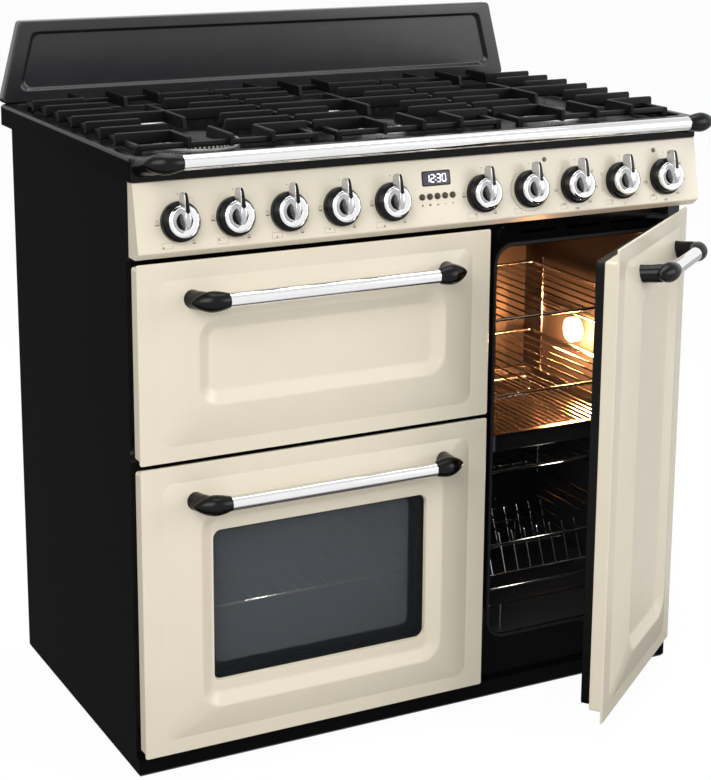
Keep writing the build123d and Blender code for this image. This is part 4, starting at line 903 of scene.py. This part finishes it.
def words(text, height, x, rise):
    """Plain figures printed on the fascia."""
    script = bpy.data.curves.new("figures", "FONT")
    script.body, script.size, script.align_x, script.align_y = text, height * 1.4, "CENTER", "CENTER"
    script.extrude = 0.2
    holder = bpy.data.objects.new("figures", script)
    bpy.context.collection.objects.link(holder)
    mesh = final_mesh(holder)
    points = [on_panel(x + v.co.x, rise + v.co.y, v.co.z) for v in mesh.vertices]
    faces = [tuple(f.vertices) for f in mesh.polygons]
    bpy.data.objects.remove(holder)
    bpy.data.meshes.remove(mesh)
    bpy.data.curves.remove(script)
    return points, faces


def outline(points, stroke, x, rise):
    """A closed printed line through points, as one short stroke for each side."""
    marks = []
    for a, b in zip(points, points[1:] + points[:1]):
        a, b = Vector(a), Vector(b)
        side = Vector((a.y - b.y, b.x - a.x)).normalized() * stroke / 2
        marks.append(printed([a - side, b - side, b + side, a + side], x, rise))
    return marks


# Fired print: brown-black, matt; the thinner one lets some cream through
dial_ink = coat("fired_dial_print", "#3A332C", "#4A4239", 3.0, 0.001, {"Roughness": 0.5})
thin_ink = coat("thin_dial_print", "#655D50", "#736A5C", 3.0, 0.001, {"Roughness": 0.5})
flame = [(-0.42, -0.42), (0.42, -0.42), (0.3, 0.1), (0.0, 0.62), (-0.3, 0.1)]
marks = []
thin_marks = []
figure_marks = []
for k, x in enumerate(knob_places):
    marks.append(dot(0.8, x + 1.0, KNOB_RISE + 36.0))
    if k < GAS_KNOBS:
        for size, dx, dz in ((6.0, -30.4, 0.8), (4.4, 18.7, -27.3)):
            sized = [(size * px, size * py) for px, py in flame]
            thin_marks += outline(sized, 0.45, x + dx, KNOB_RISE + dz)
            marks.append(printed(oblong(size * 0.48, 0.45), x + dx, KNOB_RISE + dz - size * 0.6))
        thin_marks += line_box(15.4, 8.0, x + PLAN_X, PLAN_RISE)
        column = (-5.4, 0.0, 5.4)[k // 2]
        marks.append(dot(1.1, x + PLAN_X + column, PLAN_RISE + (-2.2 if k % 2 == 0 else 1.4)))
        continue
    thin_marks += line_box(12.0, 7.0, x - 22.0, KNOB_RISE - 30.0)
    if k == ARC_KNOB:
        thin_marks += arc_band(31.5, 0.5, radians(40), radians(320), x, KNOB_RISE)
    elif k == BOX_KNOB:
        for a in map(radians, range(50, 330, 40)):
            thin_marks += line_box(4.2, 3.4, x + 34 * sin(a), KNOB_RISE + 34 * cos(a))
    else:
        for j, text in enumerate(("50", "100", "140", "180", "220", "250")):
            a = radians(60 + 40 * j)
            figure_marks.append(words(text, 3.4, x + 34.5 * sin(a), KNOB_RISE + 34.5 * cos(a)))
bell = [(-1.5, -1.3), (1.5, -1.3), (1.0, 0.7), (0, 1.7), (-1.0, 0.7)]
pot, pan = [[(px, py + tall / 2 - 1.3) for px, py in oblong(1.7, tall / 2)] for tall in (2.4, 1.6)]
minus, upright = oblong(1.7, 0.25), oblong(0.25, 1.7)
for x, signs in zip(button_places, ((bell,), (pot,), (pan,), (minus,), (minus, upright))):
    marks += [printed(sign, x, SIGN_RISE) for sign in signs]
dial_paints = [(dial_ink, marks), (thin_ink, thin_marks + figure_marks)]
piece("dial_marks", "casing", dial_paints)

# Doors: cream enamelled pressings with a rolled lip, folded flanges, and a field that rises to the rim of
# a sunken panel. Black enamelled liners close them behind. The two left doors drop down on pins at the
# foot, and the tall door swings on pins at its right edge.
FIELD_RISE = 12.5
RECESS_FLOOR = 3.5
LIP = 3.0
SKIN_DEPTH = 20.5
DOOR_GAUGE = 1.5
DOOR_GAP = 13.5
HINGE_INSET = 16.0
GLASS_LAP = 15.0
TALL_DOOR_OPEN = 37.5
# How far in from the edge the front sheet starts to rise, reaches the rim, the floor and the window
FIELD_AT = 26.0
RIM_AT = 78.0
FLOOR_AT = 96.0
WINDOW_AT = 110.0


def upright_lay(front):
    """Lays an outline upright, with height counted out from a plane at this depth."""
    return lambda x, z, out: Vector((x, front - out, z))


def notched(skin, boxes):
    """A closed skin with notches cut out of it."""
    sheet = skinned("sheet", [[skin]], 1.0)
    punch = skinned("punch", [[slab(*box) for box in boxes]], 1.0)
    cut = sheet.modifiers.new("notch", "BOOLEAN")
    cut.operation, cut.solver, cut.object = "DIFFERENCE", "EXACT", punch
    mesh = final_mesh(sheet)
    points = [v.co.copy() for v in mesh.vertices]
    faces = [tuple(f.vertices) for f in mesh.polygons]
    used = [mesh, sheet.data, punch.data]
    for thing in (sheet, punch):
        bpy.data.objects.remove(thing)
    for form in used:
        bpy.data.meshes.remove(form)
    return points, faces


def door_pressing(edges, end_inset, lip, window=None, drops=True):
    """The front sheet and the folded flange of a door, from its outer edges. A door that drops has notches
    at the foot of its flange, where the hinge brackets come through."""
    field = inset_box(edges, 30, 22, 24)
    rim = inset_box(field, 50.5, end_inset, end_inset)
    floor = inset_box(rim, 18)
    keys = [(0, (*edges, 3)), (FIELD_AT, (*field, 16)), (RIM_AT, (*rim, 30)), (FLOOR_AT, (*floor, 12))]
    run = [(0, -LIP), (0, 0), (FIELD_AT, 0)]
    rounds = [2.2, 2.5]
    for k in range(1, 10):
        share = k / 10
        run.append((FIELD_AT + (RIM_AT - FIELD_AT) * share, FIELD_RISE * (1.2 * share - 0.2 * share ** 2)))
        rounds.append(0)
    run += [(RIM_AT, FIELD_RISE), (FLOOR_AT, RECESS_FLOOR)]
    rounds += [12, 12]
    if window:
        keys.append((WINDOW_AT, (*window, 12)))
        run += [(WINDOW_AT - 1, RECESS_FLOOR), (WINDOW_AT, -LIP)]
        rounds.append(1.0)
    else:
        keys.append((FLOOR_AT + 44, (*inset_box(floor, 40), 8)))
        run.append((FLOOR_AT + 24, RECESS_FLOOR))
    path = [(p.x, p.y) for p in bent(run, rounds, 8)]
    lay = upright_lay(door_front)
    sheet = shell(pressed(keys, path, lay), ring=bool(window))
    body = inset_box(edges, 0, lip, lip)
    fold_keys = [(0, (*body, 4)), (24, (*inset_box(body, 24), 2))]
    inside = DOOR_GAUGE - SKIN_DEPTH
    fold_run = [(0, -LIP), (0, -SKIN_DEPTH), (23.5, -SKIN_DEPTH), (23.5, inside), (DOOR_GAUGE, inside),
                (DOOR_GAUGE, -LIP)]
    fold_path = [(p.x, p.y) for p in bent(fold_run, [2.0, 0, 0, 0.5])]
    flange = shell(pressed(fold_keys, fold_path, lay), ring=True)
    if drops:
        near, far = HINGE_INSET - 7, HINGE_INSET + 9
        depth = (door_front + 9, door_front + SKIN_DEPTH + 1, edges[2] + lip - 1, edges[2] + lip + 20)
        sides = ((edges[0] + near, edges[0] + far), (edges[1] - far, edges[1] - near))
        flange = notched(flange, [(*side, *depth) for side in sides])
    return [sheet, flange]


def face_of(node):
    """The left, right, lower and upper edges of a node."""
    x0, x1, _, _, z0, z1 = span(node)
    return x0, x1, z0, z1


door_front = span("grill_door_skin")[2] + FIELD_RISE
grill_edges, main_edges = face_of("grill_door_skin"), face_of("main_door_skin")
tall_right = span("side_panel_right")[1] - 4
tall_edges = (grill_edges[1] + DOOR_GAP, tall_right, main_edges[2], grill_edges[3])
window_edges = inset_box(face_of("main_door_glass"), GLASS_LAP)
tall_pins = Vector((tall_right - 20, door_front + 9, 0.0))
opening = Matrix.Rotation(radians(TALL_DOOR_OPEN), 4, "Z")
swing = Matrix.Translation(tall_pins) @ opening @ Matrix.Translation(-tall_pins)
for name, sheets, place in (
    ("grill_door", door_pressing(grill_edges, 53.5, 5), None),
    ("main_door", door_pressing(main_edges, 41, 5, window_edges), None),
    ("tall_door", door_pressing(tall_edges, 53.5, 18, drops=False), swing),
):
    piece(f"{name}_pressing", name, [(cream_enamel, sheets)], (f"{name}_skin",), place)
# Satin liner enamel: a duller black than the casing's
liner_sheen = {"Roughness": 0.3, "Specular IOR Level": 0.15}
liner_enamel = coat("satin_black_enamel", "#08080A", "#0C0C0E", 20.0, 0.004, liner_sheen)
dress(liner_enamel, "grill_door_liner", "main_door_liner", "tall_door_liner")

# Door handles: the same chromed bars and black acorn ends as the rail of the hob. They are screwed through
# the front sheets of the doors from behind.
HANDLE_DROP = 48.0
HANDLE_OUT = 43.0
HANDLE_RADIUS = 10.3
HANDLE_SEAT = 2.0
POST_DROP = 3.5
for name, edges, end_gap, shift, place in (
    ("grill", grill_edges, 109.0, 0.0, None),
    ("main", main_edges, 109.0, 0.0, None),
    ("tall", tall_edges, 114.0, 9.0, swing),
):
    half = (edges[1] - edges[0]) / 2 - end_gap
    middle = ((edges[0] + edges[1]) / 2 + shift, door_front - HANDLE_OUT, edges[3] - HANDLE_DROP)
    seat = door_front - HANDLE_SEAT
    nodes = (f"{name}_handle_bar", f"{name}_handle_ends")
    bar = (half, HANDLE_RADIUS, middle)
    bar_and_ends(f"{name}_handle", f"{name}_door", *bar, seat, POST_DROP, place, nodes)

# Window of the main oven: two toughened panes clamped behind the pressing. The outer one is clear, and the
# inner one has a grey heat-holding coat and a printed black border.
GLASS_OVERLAP = 12.0
BORDER_WIDTH = 13.0
OUTER_PANE = (-3.2, -7.0)
INNER_PANE = (-25.6, -29.4)


def pane_glass(name, tint, opacity):
    """A flat glass that covers what is behind it by a share."""
    material, tree = blank(name)
    inputs = {"Base Color": linear(tint), "Roughness": 0.06, "Specular IOR Level": 0.12, "Alpha": opacity}
    shader = add(tree, "ShaderNodeBsdfPrincipled", inputs)
    add(tree, "ShaderNodeOutputMaterial", {"Surface": shader.outputs[0]})
    return material


# Toughened glass: nearly unseen when clear, and smoke grey when coated
clear_glass = pane_glass("clear_toughened_glass", "#3B4046", 0.12)
coated_glass = pane_glass("grey_coated_glass", "#666D73", 0.6)
# Print fired on glass: black and glossy
border_ink = coat("fired_black_border", "#08080A", "#0E0E10", 5.0, 0.001, {"Roughness": 0.12})
glass = inset_box(window_edges, -GLASS_OVERLAP)
lay = upright_lay(door_front)


def pane(front, back):
    """A flat pane with rounded corners between two heights, which count out from the door's face."""
    return shell(pressed([(0, (*glass, 14))], [(0, back), (0, front)], lay))


border_keys = [(0, (*glass, 14)), (20, (*inset_box(window_edges, BORDER_WIDTH), 10))]
ink_front, ink_back = INNER_PANE[0] + 0.15, INNER_PANE[0] - 0.1
border_run = [(0, ink_back), (0, ink_front), (20, ink_front), (20, ink_back)]
border = shell(pressed(border_keys, border_run, lay), ring=True)
window_paints = [(clear_glass, [pane(*OUTER_PANE)]), (coated_glass, [pane(*INNER_PANE)])]
window_paints.append((border_ink, [border]))
piece("oven_window", "main_door", window_paints, ("main_door_glass",))

# Studio: a pale paper floor that keeps the stove's soft shadow, a white surround, three large soft lamps,
# small warm lamps inside the two ovens that are seen into, and the camera at the photograph's angle.
floor_form = bmesh.new()
bmesh.ops.create_grid(floor_form, x_segments=1, y_segments=1, size=12.0)
floor_mesh = bpy.data.meshes.new("studio_floor")
floor_form.to_mesh(floor_mesh)
floor_form.free()
floor = bpy.data.objects.new("studio_floor", floor_mesh)
bpy.context.collection.objects.link(floor)
WHITE = linear("#FFFFFF")
PAPER_GREY = (0.6, 0.6, 0.6, 1.0)
# White studio paper: matt, and white to the camera
floor_paint, paper = blank("white_studio_paper")
seen_by = add(paper, "ShaderNodeLightPath").outputs
matt = add(paper, "ShaderNodeBsdfDiffuse", {"Color": PAPER_GREY})
bright = add(paper, "ShaderNodeEmission", {"Color": WHITE, "Strength": 1.06})
lift = add(paper, "ShaderNodeMath", {0: seen_by["Is Camera Ray"], 1: 0.9}, operation="MULTIPLY")
matt_or_bright = {0: lift.outputs[0], 1: matt.outputs[0], 2: bright.outputs[0]}
paper_mix = add(paper, "ShaderNodeMixShader", matt_or_bright)
# Painted reflection: to glossy rays the paper is white before the stove, half as bright to its right, and a
# painted shade, dark, behind its front near the stove
spot = add(paper, "ShaderNodeSeparateXYZ", {0: add(paper, "ShaderNodeTexCoord").outputs["Object"]})
# Painted shade: the paper's brightness in reflections falls to nearly black close to the front of the stove
painted_shade_by_stove = add(paper, "ShaderNodeMapRange", {0: spot.outputs["Y"], 1: -0.85, 2: -0.45, 3: 0.95, 4: 0.04})
rise = add(paper, "ShaderNodeMapRange", {0: spot.outputs["X"], 1: 0.5, 2: 0.75, 3: 0.0, 4: 0.5})
level = add(paper, "ShaderNodeMath", {0: painted_shade_by_stove.outputs[0], 1: rise.outputs[0]}, operation="MAXIMUM")
painted_floor_reflection = add(paper, "ShaderNodeEmission", {"Color": WHITE, "Strength": level.outputs[0]})
glossy_paper = {0: seen_by["Is Glossy Ray"], 1: paper_mix.outputs[0], 2: painted_floor_reflection.outputs[0]}
paper_seen = add(paper, "ShaderNodeMixShader", glossy_paper)
add(paper, "ShaderNodeOutputMaterial", {"Surface": paper_seen.outputs[0]})
floor_mesh.materials.append(floor_paint)

world = bpy.data.worlds.new("white_studio")
bpy.context.scene.world = world
world.use_nodes = True
sky = world.node_tree
sky.nodes.clear()
ray = add(sky, "ShaderNodeLightPath").outputs
direction = add(sky, "ShaderNodeSeparateXYZ", {0: add(sky, "ShaderNodeTexCoord").outputs["Generated"]})
ramp = add(sky, "ShaderNodeValToRGB", {0: direction.outputs["Z"]})
stops = ((0.0, 1.0), (0.55, 1.0), (0.8, 0.8), (1.0, 0.7))
ramp.color_ramp.elements.remove(ramp.color_ramp.elements[0])
for k, (place, level) in enumerate(stops):
    stop = ramp.color_ramp.elements[0] if k == 0 else ramp.color_ramp.elements.new(place)
    stop.position, stop.color = place, (level, level, level, 1.0)
fill = add(sky, "ShaderNodeBackground", {"Color": WHITE, "Strength": 0.36})
mirror = add(sky, "ShaderNodeBackground", {"Color": ramp.outputs[0], "Strength": 1.0})
white = add(sky, "ShaderNodeBackground", {"Color": WHITE, "Strength": 1.0})
fill_or_mirror = {0: ray["Is Glossy Ray"], 1: fill.outputs[0], 2: mirror.outputs[0]}
glossy_mix = add(sky, "ShaderNodeMixShader", fill_or_mirror)
through = {0: ray["Is Camera Ray"], 1: ray["Is Transmission Ray"]}
straight = add(sky, "ShaderNodeMath", through, operation="MAXIMUM")
lit_or_white = {0: straight.outputs[0], 1: glossy_mix.outputs[0], 2: white.outputs[0]}
sky_mix = add(sky, "ShaderNodeMixShader", lit_or_white)
add(sky, "ShaderNodeOutputWorld", {"Surface": sky_mix.outputs[0]})


def lamp(name, kind, at, power, tint):
    """A lamp in the studio, and the object that carries it."""
    light = bpy.data.lights.new(name, kind)
    light.energy, light.color = power, linear(tint)[:3]
    stand = bpy.data.objects.new(name, light)
    stand.location = at
    bpy.context.collection.objects.link(stand)
    return light, stand


for name, at, target, size, power, tint in (
    ("key_softbox", (-2.2, -2.6, 2.6), (0.0, -0.2, 0.45), 2.3, 82.0, "#FFFDF8"),
    ("fill_softbox", (2.6, -2.8, 1.6), (0.1, -0.2, 0.4), 2.0, 44.0, "#FFFFFF"),
    ("top_softbox", (0.2, 0.1, 3.0), (0.0, 0.0, 0.8), 2.0, 44.0, "#FFFFFF"),
):
    softbox, stand = lamp(name, "AREA", at, power, tint)
    softbox.shape, softbox.size = "SQUARE", size
    stand.rotation_euler = (Vector(target) - Vector(at)).to_track_quat("-Z", "Y").to_euler()
for name, at, power, tint in (
    ("tall_oven_bulb", (0.388, -0.01, 0.48), 6.5, "#FFA25C"),
    ("tall_oven_glow", (0.394, -0.055, 0.462), 2.2, "#FFAA66"),
    ("tall_oven_lower_light", (0.27, -0.2, 0.31), 0.25, "#FFF4E6"),
    ("main_oven_bulb", (-0.18, -0.16, 0.36), 3.2, "#FFEEDC"),
):
    bulb, _ = lamp(name, "POINT", at, power, tint)
    bulb.shadow_soft_size = 0.02

lens = bpy.data.cameras.new("photo_camera")
lens.lens, lens.sensor_width, lens.shift_y = 87.24, 36.0, -0.1564
camera = bpy.data.objects.new("photo_camera", lens)
camera_place = (-1.29488, -2.51498, 1.28273)
camera_angles = (77.03913, -0.34966, -27.42163)
camera_turn = Euler([radians(angle) for angle in camera_angles]).to_matrix().to_4x4()
camera.matrix_world = Matrix.Translation(camera_place) @ camera_turn
bpy.context.collection.objects.link(camera)
bpy.context.scene.camera = camera
bpy.context.scene.view_settings.view_transform = "Standard"
